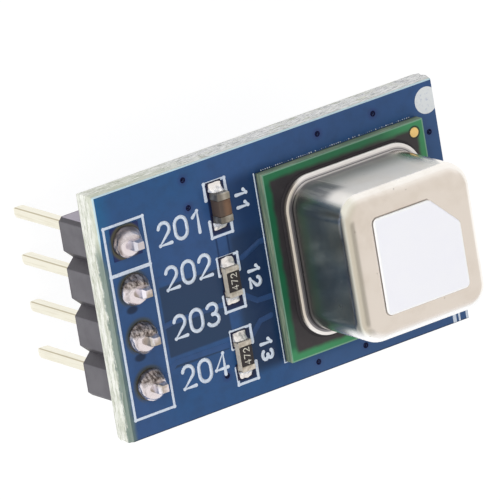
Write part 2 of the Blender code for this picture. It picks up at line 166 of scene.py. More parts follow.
class BoardSettings(bpy.types.PropertyGroup):
    """Sizes and colours of the carrier board, its print and its tracks."""

    mask_colour: colour_input("Mask over copper", "Solder mask with copper under it", paint(51, 83, 131))
    bare_colour: colour_input("Mask over laminate", "Solder mask with no copper under it", paint(42, 62, 92))
    deep_colour: colour_input("Deep mask", "Solder mask beside the sensor and in gaps", paint(8, 36, 74))
    print_colour: colour_input("Print", "Ink of the lines and numbers", paint(212, 222, 236))
    disc_colour: colour_input("Disc", "Thicker ink of the disc at the corner", paint(226, 230, 232))
    edge_colour: colour_input("Cut edge", "Glass and resin of the broken edge", paint(196, 200, 184))
    fibre_colour: colour_input("Glass fibres", "Torn glass fibres of the broken edge", paint(240, 241, 234))
    resin_colour: colour_input("Scored resin", "Smooth cut next to the mask", paint(104, 124, 116))
    line_width: size_input("Print line", "Width of the printed lines", 0.19 * mm)
    print_thickness: size_input("Print thickness", "How far the ink stands up", 0.014 * mm)
    number_height: size_input("Pin number height", "Height of the numbers beside the pins", 1.14 * mm)
    track_width: size_input("Track width", "Width of the narrow copper tracks", 0.3 * mm)
    track_thickness: size_input("Track thickness", "How far a track lifts the mask", 0.01 * mm)
    edge_roughness: size_input("Edge tear", "How deep the broken edge is torn", 0.07 * mm)
    fibre_count: IntProperty(name="Fibres", description="Loose fibres along the edges", default=420, min=0)


class HeaderSettings(bpy.types.PropertyGroup):
    """Sizes and colours of the pin header and its solder."""

    plastic_colour: colour_input("Header plastic", "Moulded strip that holds the pins", paint(96, 94, 100))
    pin_colour: colour_input("Pin plating", "Pale gold flash on the pins", paint(240, 236, 220))
    solder_colour: colour_input("Solder", "Tin of the joints", paint(248, 243, 250))
    plastic_edge: size_input("Moulded edge", "Radius of the strip's edges", 0.07 * mm)
    pin_edge: size_input("Pin edge", "Radius of the drawn pins' edges", 0.045 * mm)
    joint_waviness: share_input("Joint waviness", "How uneven the solder joints are", 0.07)


class ChipSettings(bpy.types.PropertyGroup):
    """Colours and sizes of the chip parts and their solder."""

    capacitor_colour: colour_input("Capacitor body", "Fired brown ceramic", paint(118, 90, 70))
    ceramic_colour: colour_input("Resistor body", "Pale alumina", paint(206, 198, 184))
    coating_colour: colour_input("Resistor coating", "Dark glaze over the resistor", paint(38, 34, 36))
    metal_colour: colour_input("End metal", "Tinned ends of the chips", paint(230, 226, 216))
    marking_colour: colour_input("Marking", "Numbers printed on the resistors", paint(222, 218, 204))
    marking_line: size_input("Marking line", "Width of the strokes of those numbers", 0.05 * mm)
    marking_height: size_input("Marking height", "Height of those numbers", 0.34 * mm)
    solder_waviness: share_input("Solder waviness", "How uneven the chips' solder is", 0.25)


class SensorSettings(bpy.types.PropertyGroup):
    """Colours and sizes of the gas sensor."""

    mask_colour: colour_input("Sensor mask", "Green solder mask of the sensor's board", paint(10, 96, 62))
    zone_colour: colour_input("Bonding zone", "Dark zone around the can", paint(40, 38, 42))
    laminate_colour: colour_input("Laminate", "Cut side of the sensor's board", paint(104, 128, 108))
    metal_colour: colour_input("Can metal", "Nickel silver of the drawn can", paint(244, 240, 234))
    # Painted reflection: the darker tone of the -X wall, which mirrors the dark board
    wall_colour: colour_input("Can wall", "Duller metal of the wall towards the header", paint(160, 166, 158))
    # Painted reflection: the warm tone of the shoulder above that wall
    shoulder_colour: colour_input("Can shoulder", "Warm metal above that wall", paint(225, 222, 209))
    membrane_colour: colour_input("Membrane", "White filter over the vent", paint(250, 250, 255))
    border: size_input("Green border", "Green mask left bare round the bonding zone", 0.4 * mm)
    solder_ball: size_input("Solder ball", "Radius of the solder under the sensor's edge", 0.034 * mm)


class StageSettings(bpy.types.PropertyGroup):
    """Light, floor and camera."""

    floor_colour: colour_input("Floor", "Colour of the floor", paint(250, 250, 250))
    key_power: power_input("Key lamp", "Power of the main lamp", 0.385)
    fill_power: power_input("Fill lamp", "Power of the second lamp", 0.18)
    sky_strength: share_input("Sky", "Strength of the even light from all round", 0.55)
    lens: FloatProperty(name="Lens", description="Focal length", default=694.5, min=1.0, unit="CAMERA")


class Wire:
    """An output socket of a node. Sums on it add Math nodes to its tree."""

    def __init__(self, recipe, socket):
        self.recipe = recipe
        self.socket = socket

    def output(self, name):
        """Another output of the same node."""
        return Wire(self.recipe, self.socket.node.outputs[name])

    def sum(self, operation, first, second=0.0):
        return self.recipe.add("ShaderNodeMath", {"operation": operation}, {0: first, 1: second})

    def __add__(self, other):
        return self.sum("ADD", self, other)

    __radd__ = __add__

    def __sub__(self, other):
        return self.sum("SUBTRACT", self, other)

    def __rsub__(self, other):
        return self.sum("SUBTRACT", other, self)

    def __mul__(self, other):
        return self.sum("MULTIPLY", self, other)

    __rmul__ = __mul__

    def __truediv__(self, other):
        return self.sum("DIVIDE", self, other)

    def __abs__(self):
        return self.sum("ABSOLUTE", self)

    def most(self, other):
        return self.sum("MAXIMUM", self, other)

    def rise(self, low, high):
        """0 below one level, 1 above the other and smooth between. Swapped levels make a fall."""
        return self.recipe.add(
            "ShaderNodeMapRange",
            {"interpolation_type": "SMOOTHSTEP"},
            {"Value": self, "From Min": low, "From Max": high},
        )


class Recipe:
    """A node tree that is being filled in, for a material, the world or a modifier."""

    def __init__(self, tree, finish=None):
        self.tree = tree
        self.finish = finish
        tree.nodes.clear()

    def add(self, kind, settings=None, sockets=None, output=0):
        """One node: its settings first, then the values or links of its sockets."""
        node = self.tree.nodes.new(kind)
        for name, value in (settings or {}).items():
            setattr(node, name, value)
        for key, value in (sockets or {}).items():
            self.connect(node.inputs[key], value)
        return Wire(self, node.outputs[output]) if len(node.outputs) else node

    def connect(self, socket, value):
        """Links a socket, or gives it a plain value. A list of wires goes into one socket."""
        if isinstance(value, list):
            for wire in value:
                self.connect(socket, wire)
        elif isinstance(value, Wire):
            self.tree.links.new(value.socket, socket)
        elif socket.type == "RGBA" and len(value) == 3:
            socket.default_value = (*value, 1.0)
        else:
            socket.default_value = value

    def blend(self, share, first, second, mode="MIX"):
        """Two colours mixed: all of the first at 0 and all of the second at 1."""
        settings = {"data_type": "RGBA", "blend_type": mode}
        return self.add("ShaderNodeMix", settings, {0: share, 6: first, 7: second}, output=2)

    def place(self):
        """Where a point of the surface lies in the module's frame."""
        return self.add("ShaderNodeTexCoord").output("Object")

    def parts(self, vector):
        split = self.add("ShaderNodeSeparateXYZ", sockets={0: vector})
        return split.output("X"), split.output("Y"), split.output("Z")

    def from_pin(self, y):
        """How far a place lies from the nearest pin along Y, negative towards -Y."""
        half = pin_pitch / 2
        return self.add("ShaderNodeMath", {"operation": "WRAP"}, {0: y - pin_rows[1], 1: half, 2: -half})

    def flat_reach(self, x, y):
        """How far a place lies from an upright line, its two distances given."""
        squares = x * x + y * y
        return squares.sum("SQRT", squares)

    def past_corner(self, x, y, reach, corner):
        """How far a place lies outside a square with round corners, given from the square's middle."""
        straight = reach - corner
        return self.flat_reach((abs(x) - straight).most(0.0), (abs(y) - straight).most(0.0)) - corner

    def distance(self, vector, point):
        """How far a place lies from a point."""
        settings = {"operation": "DISTANCE"}
        return self.add("ShaderNodeVectorMath", settings, {0: vector, 1: point}).output("Value")

    def stretched(self, vector, scale):
        """A place with each of its lengths scaled, so that a pattern on it is drawn out or packed."""
        return self.add("ShaderNodeVectorMath", {"operation": "MULTIPLY"}, {0: vector, 1: scale})

    def grain(self, vector, per_mm, detail=3.0, roughness=0.55):
        """Cloudy noise from 0 to 1, its coarsest patches given as a number in each millimetre."""
        return self.add(
            "ShaderNodeTexNoise",
            sockets={"Vector": vector, "Scale": per_mm / mm, "Detail": detail, "Roughness": roughness},
        )

    def specks(self, vector, per_mm, radius):
        """1 inside small scattered dots and 0 outside."""
        cells = self.add("ShaderNodeTexVoronoi", sockets={"Vector": vector, "Scale": per_mm / mm})
        return cells.output("Distance").rise(radius, radius * 0.6)

    def chance(self, low, high, seed):
        """A number drawn by lot between two values for each point."""
        sockets = {2: low, 3: high, "Seed": seed}
        return self.add("FunctionNodeRandomValue", {"data_type": "FLOAT"}, sockets, output=1)

    def bump(self, height, distance):
        """A normal that leans with a height, given how far the height stands up where it is 1."""
        return self.add("ShaderNodeBump", sockets={"Height": height, "Distance": distance, "Strength": 1.0})


def new_finish(name):
    """The recipe of a new, empty material and the place that is being coloured."""
    made = bpy.data.materials.new(name)
    made.use_nodes = True
    recipe = Recipe(made.node_tree, made)
    return recipe, recipe.place()


def close_finish(recipe, tone, roughness, relief, depth, **sockets):
    """The one shader of a finish. Its relief stands up by the depth where it is 1."""
    named = {key.replace("_", " "): value for key, value in sockets.items()}
    named |= {"Base Color": tone, "Roughness": roughness, "Normal": recipe.bump(relief, depth)}
    shader = recipe.add("ShaderNodeBsdfPrincipled", sockets=named)
    recipe.add("ShaderNodeOutputMaterial", sockets={"Surface": shader})
    return recipe.finish


def zone(x, y, low, high, soft):
    """1 inside a rectangle given by two corners, with a soft edge."""
    across = x.rise(low[0] - soft, low[0] + soft) * x.rise(high[0] + soft, high[0] - soft)
    along = y.rise(low[1] - soft, low[1] + soft) * y.rise(high[1] + soft, high[1] - soft)
    return across * along


def inner_zone(x, y, low, high, inset, soft):
    """1 inside a rectangle that is drawn in from two corners by an inset."""
    return zone(x, y, (low[0] + inset, low[1] + inset), (high[0] - inset, high[1] - inset), soft)


def at_first_pin(y):
    """1 beside the first pin and 0 beside the others."""
    border = pin_rows[0] - pin_pitch / 2
    return y.rise(border - hair, border + hair)


def copper_tones(recipe, settings, x, y):
    """The mask's colour by what lies under it: copper, bare laminate or a gap between two tracks."""
    bare = zone(x, y, *bare_patches[0])
    for patch in bare_patches[1:]:
        bare = bare.most(zone(x, y, *patch))
    tone = recipe.blend(bare, settings.mask_colour, settings.bare_colour)
    deep = x.rise(5.6 * mm, 7.4 * mm) * x.rise(12.0 * mm, 7.5 * mm) * abs(y).rise(5.5 * mm, 4.7 * mm)
    tone = recipe.blend(deep * 0.75, tone, settings.deep_colour)
    for low, high in track_gaps:
        tone = recipe.blend(zone(x, y, low, high, 0.03 * mm) * 0.7, tone, settings.deep_colour)
    return tone


def header_stains(recipe, x, y, tone):
    """Brown flux with painted shade in a ring round the header's joints, and a dark patch below the second
    and the third.
    """
    beside = recipe.from_pin(y)
    header = x.rise(1.3 * mm, 1.1 * mm) * abs(y).rise(5.1 * mm, 4.9 * mm)
    # Flux and painted shade in a ring round each joint
    ring = recipe.flat_reach(x, beside).rise(1.08 * mm, 0.9 * mm) * (beside - x).rise(-0.9 * mm, 0.5 * mm)
    tone = recipe.blend(ring * header * 0.7, tone, paint(78, 80, 70))
    # Darker below the second and the third joints
    dark_patch = recipe.flat_reach((x + 0.3 * mm) * 0.6, beside + 1.02 * mm).rise(0.26 * mm, 0.14 * mm)
    dark_patch = dark_patch * header * y.rise(2.2 * mm, 2.0 * mm) * y.rise(-3.6 * mm, -3.4 * mm)
    return recipe.blend(dark_patch * 0.8, tone, paint(16, 26, 44))


def worn_corner(recipe, settings, place, x, y, tone):
    """The mask at the header's end: thin towards +Y, worn through to the resin below that."""
    thin = x.rise(face_low.x + 1.1 * mm, face_low.x) * y.rise(1.5 * mm, 5.5 * mm)
    tone = recipe.blend(thin * 0.6, tone, paint(30, 104, 150))
    waver = (recipe.grain(place, 1.4, 3.0) - 0.5) * 0.3 * mm
    worn = (x + waver).rise(face_low.x + 0.36 * mm, face_low.x + 0.04 * mm) * y.rise(4.0 * mm, 2.0 * mm)
    return recipe.blend(worn * 0.85, tone, settings.resin_colour)


def mask_colour(recipe, settings, place):
    """Blue mask: paler where copper backs it, stained at the solder, with a slow drift of tone, painted shade
    round the chip parts and a painted shadow along the -Y edge.
    """
    x, y, _ = recipe.parts(place)
    tone = copper_tones(recipe, settings, x, y)
    for hole in via_points():
        stain = recipe.distance(place, (*hole, board_top)).rise(0.42 * mm, 0.16 * mm)
        tone = recipe.blend(stain * 0.4, tone, paint(44, 44, 100))
    tone = header_stains(recipe, x, y, tone)
    # Painted shade on the mask round and under each chip part
    for low, high in chip_frames:
        dark = inner_zone(x, y, low, high, 0.1 * mm, 0.04 * mm)
        tone = recipe.blend(dark * 0.85, tone, paint(20, 24, 58))
    drift = recipe.grain(place, 0.12, 2.0)
    greener = recipe.blend(1.0, tone, paint(214, 255, 255), "MULTIPLY")
    tone = recipe.blend(drift.rise(0.4, 0.75), tone, greener)
    tone = worn_corner(recipe, settings, place, x, y, tone)
    mottle = recipe.grain(place, 1.6, 4.0)
    tone = recipe.blend(mottle.rise(0.35, 0.8) * 0.3, tone, settings.bare_colour)
    far_end = x.rise(13.0 * mm, 17.5 * mm) * y.rise(5.4 * mm, 4.6 * mm)
    low_strip = y.rise(-5.2 * mm, -5.8 * mm) * x.rise(8.0 * mm, 10.0 * mm)
    tone = recipe.blend(far_end.most(low_strip) * 0.5, tone, paint(66, 94, 138))
    shadow = y.rise(face_low.y + 0.07 * mm, face_low.y + 0.03 * mm)
    return recipe.blend(shadow * 0.7, tone, paint(30, 34, 52))


def edge_tone(recipe, settings, place):
    """Torn pale fibres with dark pits, and next to the mask the smooth greener cut of the score."""
    x, y, z = recipe.parts(place)
    layers = recipe.grain(recipe.stretched(place, (0.35, 0.35, 3.0)), 2.2, 5.0, 0.7)
    tone = recipe.blend(layers.rise(0.38, 0.58), settings.edge_colour, settings.fibre_colour)
    pits = recipe.grain(place, 9.0, 3.0, 0.7)
    tone = recipe.blend(pits.rise(0.58, 0.76) * 0.45, tone, paint(112, 114, 108))
    waver = (recipe.grain(place, 1.4, 4.0, 0.65) - 0.5) * 0.7 * mm
    scored = (z + waver).rise(board_top - 1.3 * score_depth, board_top - 0.8 * score_depth)
    header_end = x.rise(face_low.x + 0.1 * mm, face_low.x) * y.rise(4.6 * mm, 3.0 * mm)
    resin = recipe.blend(header_end, paint(196, 202, 182), settings.resin_colour)
    tone = recipe.blend(scored * 0.6 + header_end * scored * 0.25, tone, resin)
    long_side = y.rise(face_high.y, face_high.y + 0.04 * mm) * x.rise(1.0 * mm, 6.0 * mm)
    threads = recipe.grain(recipe.stretched(place, (0.5, 0.5, 6.0)), 3.0, 5.0, 0.75)
    grey = recipe.blend(threads.rise(0.4, 0.54), paint(158, 160, 168), paint(246, 246, 248))
    tone = recipe.blend(long_side * 0.8, tone, grey)
    lip = z.rise(board_top - 0.1 * mm, board_top - 0.06 * mm) * (1 - header_end)
    return recipe.blend(lip * 0.85, tone, paint(196, 224, 236))


def board_finish(settings):
    """Blue mask on both faces, tin on the header's pads, dark drilled holes, torn laminate edges."""
    recipe, place = new_finish("blue_solder_mask")
    x, y, z = recipe.parts(place)
    half = (board_top - board_underside) / 2
    from_middle = abs(z - (board_top + board_underside) / 2)
    face = from_middle.rise(half - hair, half - hair / 2)
    pad = from_middle.rise(half + hair, half + 2 * hair)
    lip = 0.05 * mm
    shift = y.rise(3.4 * mm, 4.6 * mm) * lip
    inside = zone(x - shift, y, (face_low.x, face_low.y), (face_high.x, face_high.y - lip), hair)
    core = inner_zone(x, y, face_low, face_high, 0.15 * mm, hair)
    edge, mask = edge_tone(recipe, settings, place), mask_colour(recipe, settings, place)
    tone = recipe.blend(face * inside, edge, mask)
    tone = recipe.blend(core * (1 - face), tone, paint(120, 140, 190))
    tone = recipe.blend(pad, tone, paint(30, 32, 60))
    flux = recipe.flat_reach(x, recipe.from_pin(y)).rise(1.05 * mm, 0.88 * mm)
    header_pad = recipe.blend(flux, paint(30, 44, 92), paint(84, 82, 70))
    tone = recipe.blend(pad * x.rise(2.2 * mm, 1.8 * mm), tone, header_pad)
    peel = recipe.grain(place, 3.0, 2.0)
    tear = recipe.grain(recipe.stretched(place, (0.5, 0.5, 2.0)), 7.0, 5.0, 0.7)
    height = peel * 0.12 * face + tear * (1 - face)
    return close_finish(recipe, tone, 0.8 - face * 0.5, height, 0.03 * mm, Specular_IOR_Level=0.25)


def track_finish(settings):
    """Mask lifted by a track: the tone that it has over copper."""
    recipe, place = new_finish("mask_over_track")
    mottle = recipe.grain(place, 1.6, 4.0)
    tone = recipe.blend(mottle.rise(0.3, 0.8) * 0.4, settings.mask_colour, settings.bare_colour)
    x, _, _ = recipe.parts(place)
    tone = recipe.blend(x.rise(5.4 * mm, 6.8 * mm) * 0.4, tone, settings.deep_colour)
    peel = recipe.grain(place, 3.0, 2.0)
    return close_finish(recipe, tone, 0.3 + peel * 0.05, peel, 0.004 * mm, Specular_IOR_Level=0.25)


def print_finish(name, colour):
    """Screen-printed ink: matt, with thin spots and a grainy surface."""
    recipe, place = new_finish(name)
    thin = recipe.grain(place, 5.0, 4.0, 0.65)
    tone = recipe.blend(thin.rise(0.52, 0.75) * 0.45, colour, paint(130, 150, 190))
    return close_finish(recipe, tone, 0.6 + thin * 0.2, thin, 0.01 * mm)


def fibre_finish(settings):
    """Loose glass fibres, a little cloudy."""
    recipe, place = new_finish("glass_fibre")
    cloud = recipe.grain(place, 2.0, 3.0)
    tone = recipe.blend(cloud.rise(0.35, 0.7), settings.fibre_colour, settings.edge_colour)
    return close_finish(recipe, tone, 0.5 + cloud * 0.2, cloud, 0.01 * mm)


def plastic_finish(settings):
    """Glass-filled moulding plastic: dark and matt, with painted shade on its cut corners, painted light on
    its +Y end, and darker along its edges.
    """
    recipe, place = new_finish("header_plastic")
    x, y, z = recipe.parts(place)
    cloud = recipe.grain(place, 0.9, 4.0)
    fine = recipe.grain(place, 14.0, 3.0, 0.7)
    low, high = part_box("header_insulator")
    # Painted shade on the cut corners between the cells, towards -X
    cut = abs(recipe.from_pin(y)).rise(0.76 * mm, 0.82 * mm)
    cut = cut * y.rise(high.y - 0.02 * mm, high.y - 0.04 * mm) * x.rise(low.x + 0.56 * mm, low.x + 0.5 * mm)
    tone = recipe.blend(cloud.rise(0.3, 0.75) * 0.4, settings.plastic_colour, paint(70, 68, 74))
    tone = recipe.blend(cut * 0.75, tone, paint(44, 40, 48))
    # Painted light: the +Y end face made paler
    end = y.rise(high.y - 0.03 * mm, high.y - 0.01 * mm)
    tone = recipe.blend(end * 0.85, tone, paint(176, 168, 182))
    edge = y.rise(high.y - 0.17 * mm, high.y - 0.1 * mm) * x.rise(low.x + 0.05 * mm, low.x + 0.02 * mm)
    edge = (edge * (1 - end)).most(z.rise(low.z + 0.12 * mm, low.z + 0.05 * mm)) * fine.rise(0.3, 0.5)
    tone = recipe.blend(edge * 0.75, tone, paint(58, 46, 58))
    tone = recipe.blend(fine.rise(0.6, 0.8) * 0.25, tone, paint(150, 148, 152))
    return close_finish(recipe, tone, 0.42 + cloud * 0.2, fine, 0.012 * mm)


def pin_finish(settings):
    """Drawn wire with a pale gold flash and fine draw lines along it."""
    recipe, place = new_finish("pale_gold_flash")
    lines = recipe.grain(recipe.stretched(place, (1.0, 1.0, 0.04)), 12.0, 3.0, 0.6)
    cloud = recipe.grain(place, 1.2, 3.0)
    x, y, z = recipe.parts(place)
    tone = recipe.blend(cloud.rise(0.4, 0.75) * 0.25, settings.pin_colour, paint(230, 224, 202))
    tone = recipe.blend(lines.rise(0.5, 0.7) * 0.25, tone, paint(204, 196, 170))
    half, line = pin_side / 2, 0.07 * mm
    worn = x.rise(line - half, 0.4 * line - half) * recipe.from_pin(y).rise(half - line, half - 0.4 * line)
    tone = recipe.blend(worn * 0.8, tone, paint(176, 164, 134))
    stained = recipe.blend(at_first_pin(y), paint(180, 170, 152), paint(216, 214, 222))
    tip = recipe.blend(cloud.rise(0.38, 0.56) * 0.85, settings.solder_colour, stained)
    tone = recipe.blend(z.rise(board_top, board_top + 0.2 * mm), tone, tip)
    return close_finish(recipe, tone, 0.26 + lines * 0.16, lines, 0.008 * mm, Metallic=1.0)


def solder_finish(name, colour, wrinkle):
    """Frozen tin: bright pools between duller, wrinkled patches."""
    recipe, place = new_finish(name)
    cloud = recipe.grain(place, 1.3, 4.0, 0.6)
    fine = recipe.grain(place, 7.0, 4.0, 0.65)
    dull = cloud.rise(0.48, 0.66)
    tone = recipe.blend(dull * 0.5, colour, paint(138, 134, 134))
    return close_finish(recipe, tone, 0.2 + dull * 0.22, cloud + fine * 0.35, wrinkle, Metallic=0.6)


def joint_finish(settings):
    """Tin frozen round the pins: bright where it lies flat; up its +Y flank a streaked, painted dark
    reflection; a painted shade rim; flux and painted shade at its foot.
    """
    recipe, place = new_finish("joint_solder")
    x, y, z = recipe.parts(place)
    cloud = recipe.grain(place, 1.6, 4.0, 0.6)
    streaks = recipe.grain(recipe.stretched(place, (1.0, 0.5, 0.3)), 8.0, 5.0, 0.7)
    waver = (cloud - 0.5) * 0.5 * mm
    beside = recipe.from_pin(y)
    flank = (beside + waver).rise(0.12 * mm, 0.34 * mm)
    flux_and_shade_skirt = (z + waver * 0.4).rise(board_top + 0.2 * mm, board_top + 0.08 * mm)
    # Painted dark reflection, streaked, up the +Y flank
    shaded = recipe.blend(streaks.rise(0.4, 0.64), paint(80, 72, 70), paint(204, 196, 194))
    tone = recipe.blend(cloud.rise(0.5, 0.7) * 0.3, settings.solder_colour, paint(196, 190, 192))
    first = at_first_pin(y)
    tone = recipe.blend(flank * (1 - first * 0.7), tone, shaded)
    # Painted shade: a dark crescent on the joint's +Y and -X side, strongest at the first pin
    rim = (recipe.flat_reach(x, beside) + waver * 0.3).rise(0.57 * mm, 0.71 * mm)
    rim = rim * (beside - x).rise(-0.4 * mm, 0.3 * mm) * (0.15 + first * 0.7)
    tone = recipe.blend(rim, tone, paint(130, 118, 114))
    # Flux and painted shade at the foot of the joint
    tone = recipe.blend(flux_and_shade_skirt * 0.8, tone, paint(84, 78, 78))
    return close_finish(
        recipe, tone, 0.16 + flank * 0.2, cloud + streaks * flank * 0.6, 0.03 * mm, Metallic=0.85
    )


def ceramic_finish(name, colour, dark, roughness=0.5, side=-1.0):
    """Fired ceramic: an even body with a fine grain and darker clouds, with painted shade past a level of X.
    """
    recipe, place = new_finish(name)
    x, _, _ = recipe.parts(place)
    cloud = recipe.grain(place, 2.2, 4.0, 0.6)
    fine = recipe.grain(place, 16.0, 3.0, 0.7)
    tone = recipe.blend(cloud.rise(0.35, 0.75) * 0.6, colour, dark)
    # Painted shade on the side towards -X
    tone = recipe.blend(x.rise(side + 0.46 * mm, side + 0.16 * mm) * 0.75, tone, paint(62, 56, 52))
    return close_finish(recipe, tone, roughness + fine * 0.15, fine, 0.008 * mm)


def end_metal_finish(settings):
    """Matt tin on fired silver, rubbed brighter in places, with painted shade on the capacitor's -X side."""
    recipe, place = new_finish("matt_tin")
    cloud = recipe.grain(place, 2.5, 4.0, 0.6)
    fine = recipe.grain(place, 18.0, 3.0, 0.7)
    x, y, z = recipe.parts(place)
    tone = recipe.blend(cloud.rise(0.35, 0.7), settings.metal_colour, paint(176, 168, 154))
    tall = z.rise(board_top + 0.56 * mm, board_top + 0.62 * mm)
    tone = recipe.blend(tall * 0.5, tone, paint(160, 156, 146))
    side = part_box("capacitor_end_1")[0].x
    # Painted shade on the capacitor's ends, on their side towards -X
    painted_side_shade = x.rise(side + 0.46 * mm, side + 0.16 * mm) * y.rise(2.2 * mm, 2.4 * mm)
    tone = recipe.blend(painted_side_shade * 0.7, tone, paint(78, 74, 70))
    return close_finish(recipe, tone, 0.3 + fine * 0.2, fine, 0.01 * mm, Metallic=0.75)


def sensor_base_finish(settings):
    """Green mask with a dark bonding zone on top, painted light near its -Y, +X and +Y edges and a painted
    highlight along the top's rim; layered laminate on the sides with painted shade at their foot.
    """
    recipe, place = new_finish("green_solder_mask")
    x, y, z = recipe.parts(place)
    waver = recipe.grain(place, 1.1, 3.0)
    wobble = (waver - 0.5) * 0.22 * mm
    dark = inner_zone(x + wobble, y + wobble, base_low, base_high, settings.border, 0.15 * mm)
    cloud = recipe.grain(place, 0.8, 4.0)
    green = recipe.blend(cloud.rise(0.35, 0.75) * 0.5, settings.mask_colour, paint(8, 78, 54))
    # Painted light: the green made paler near the -Y, +X and +Y edges
    painted_light = y.rise(base_low.y + 0.9 * mm, base_low.y + 0.4 * mm)
    painted_light = painted_light.most(x.rise(base_high.x - 3.6 * mm, base_high.x - 1.0 * mm))
    painted_light = painted_light.most(y.rise(base_high.y - 0.7 * mm, base_high.y - 0.4 * mm) * 0.3)
    green = recipe.blend(painted_light * 0.9, green, paint(54, 139, 90))
    bonding = recipe.blend(cloud.rise(0.3, 0.8) * 0.5, settings.zone_colour, paint(60, 54, 58))
    face = recipe.blend(dark, green, bonding)
    # Painted highlight along the rim of the top face
    line = 0.07 * mm
    flat = inner_zone(x, y, base_low, base_high, line, line / 3)
    face = recipe.blend((1 - flat) * 0.7, face, paint(132, 170, 150))
    dot_low, dot_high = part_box("index_dot")
    dot = (dot_low + dot_high) / 2
    ring = recipe.flat_reach(x - dot.x, y - dot.y).rise(0.38 * mm, 0.33 * mm)
    face = recipe.blend(ring * 0.85, face, paint(24, 26, 22))
    layers = recipe.grain(recipe.stretched(place, (0.2, 0.2, 2.5)), 2.4, 4.0, 0.65)
    side = recipe.blend(layers.rise(0.4, 0.7), settings.laminate_colour, paint(160, 172, 146))
    # Painted shade at the foot of the sides, where they meet the carrier board
    foot = z.rise(base_low.z + 0.3 * mm, base_low.z + 0.06 * mm)
    side = recipe.blend(foot * 0.75, side, paint(40, 52, 50))
    top = z.rise(base_high.z - hair, base_high.z - hair / 2)
    tone = recipe.blend(top, side, face)
    return close_finish(recipe, tone, 0.75 - top * 0.4, cloud * 0.3 + layers * (1 - top), 0.02 * mm)


def shoulder_tones(recipe, settings, across, along, z, tone):
    """The shoulder towards the header, its tones painted reflections: warm, dark where it tucks in over the
    wall, and dark low on it between its corners.
    """
    up = z - can_bend
    header_side = across.rise(1.1 * can_shoulder - can_reach, 0.6 * can_shoulder - can_reach)
    band = up.rise(0.0, 0.12 * can_shoulder) * up.rise(0.85 * can_shoulder, 0.6 * can_shoulder)
    # Painted reflection: a warm band on the shoulder
    tone = recipe.blend(band * header_side, tone, settings.shoulder_colour)
    # Painted dark reflection where the shoulder tucks in over the wall
    tuck = up.rise(-0.1 * mm, 0.0) * up.rise(0.46 * mm, 0.28 * mm) * header_side
    tuck = tuck * along.rise(0.6 * can_reach, 0.4 * can_reach)
    tone = recipe.blend(tuck * 0.7, tone, paint(112, 116, 116))
    # Painted dark reflection low on the shoulder, between its corners
    late = up.rise(0.12 * mm, 0.2 * mm) * up.rise(0.52 * mm, 0.28 * mm)
    late = late * abs(along).rise(0.84 * can_reach, 0.68 * can_reach)
    return recipe.blend(late * header_side * 0.9, tone, paint(134, 134, 128))


def hazy_tones(recipe, settings, place, across, z, hazy, tone):
    """The hazy wall: painted shade towards its foot and, streaked, at its near end; pale scratches; and a
    painted reflection line running up it.
    """
    up = z - flange_top
    # Painted shade: the wall darker towards its foot, and streaked at its near end
    painted_wall_shade = recipe.blend(up.rise(0.3 * mm, 2.6 * mm), paint(163, 165, 170), (1.0, 1.0, 1.0))
    lines = recipe.grain(recipe.stretched(place, (1.0, 1.0, 0.12)), 3.5, 4.0, 0.6)
    streaked = recipe.blend(lines.rise(0.5, 0.62) * 0.5, paint(120, 124, 130), paint(176, 180, 180))
    near = across.rise(-0.5 * can_reach, -0.66 * can_reach) * z.rise(can_bend - 1.0 * mm, can_bend - 2.0 * mm)
    painted_wall_shade = recipe.blend(near * 0.9, painted_wall_shade, streaked)
    shaded = recipe.blend(1.0, tone, painted_wall_shade, "MULTIPLY")
    tone = recipe.blend(hazy * up.rise(0.12 * mm, 0.2 * mm), tone, shaded)
    scratches = recipe.specks(recipe.stretched(place, (1.0, 1.0, 0.5)), 3.2, 0.07)
    # Painted reflection: a pale line running up the wall towards its -X end
    painted_reflection_line = abs(across + 0.6 * can_reach - up * 0.07).rise(0.06 * mm, 0.02 * mm)
    painted_reflection_line = painted_reflection_line * z.rise(can_bend - 0.4 * mm, can_bend - 1.0 * mm) * 0.6
    return recipe.blend(scratches.most(painted_reflection_line) * hazy * 0.6, tone, settings.metal_colour)


def foot_tones(recipe, across, along, z, flange, painted_light, tone):
    """The pale flange with its dark rim and crease, a painted highlight on the -Y wall, and painted shade
    along the wall's foot and at its base.
    """
    up = z - flange_top
    out = recipe.past_corner(across, along, can_reach, can_corner)
    header_edge = across.rise(-0.75 * can_reach, -0.95 * can_reach)
    header_edge = header_edge * along.rise(-0.95 * can_reach, -0.7 * can_reach)
    tone = recipe.blend(flange, tone, recipe.blend(header_edge, paint(255, 251, 248), paint(232, 222, 208)))
    rim = out.rise(0.3 * mm, 0.32 * mm) * header_edge
    tone = recipe.blend(rim * 0.9, tone, paint(74, 68, 66))
    # Painted highlight: the top of the -Y wall and its shoulder made white
    tone = recipe.blend(painted_light, tone, (1.0, 1.0, 1.0))
    crease = flange * out.rise(0.03 * mm, 0.05 * mm) * out.rise(0.12 * mm, 0.09 * mm)
    # Painted shade along the foot of the wall
    foot = up.rise(0.6 * mm, 0.36 * mm) * out.rise(0.19 * mm, 0.15 * mm)
    foot = foot * (1 - along.rise(0.7 * can_reach, 0.9 * can_reach) * 0.5)
    tone = recipe.blend(foot.most(crease) * 0.85, tone, paint(92, 90, 98))
    # Painted shade at the base of the wall, just above the flange, except towards +Y
    base_shade = up.rise(0.2 * mm, 0.1 * mm) * out.rise(0.07 * mm, 0.05 * mm)
    base_shade = base_shade * along.rise(can_reach, 0.8 * can_reach)
    return recipe.blend(base_shade * 0.75, tone, paint(48, 48, 54))


def film_seat(recipe, x, y, z, tone):
    """A faint dark line on the can's top along the film's edge."""
    low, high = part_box("filter_membrane")
    middle = (low + high) / 2
    seat = recipe.past_corner(x - middle.x, y - middle.y, (high.x - low.x) / 2, membrane_corner)
    seat = seat.rise(0.06 * mm, 0.04 * mm) * z.rise(can_high.z - hair, can_high.z - hair / 2)
    cut = high.x + high.y - membrane_cut
    seat = seat * (x + y).rise(cut + 0.02 * mm, cut)
    return recipe.blend(seat * 0.6, tone, paint(128, 116, 108))


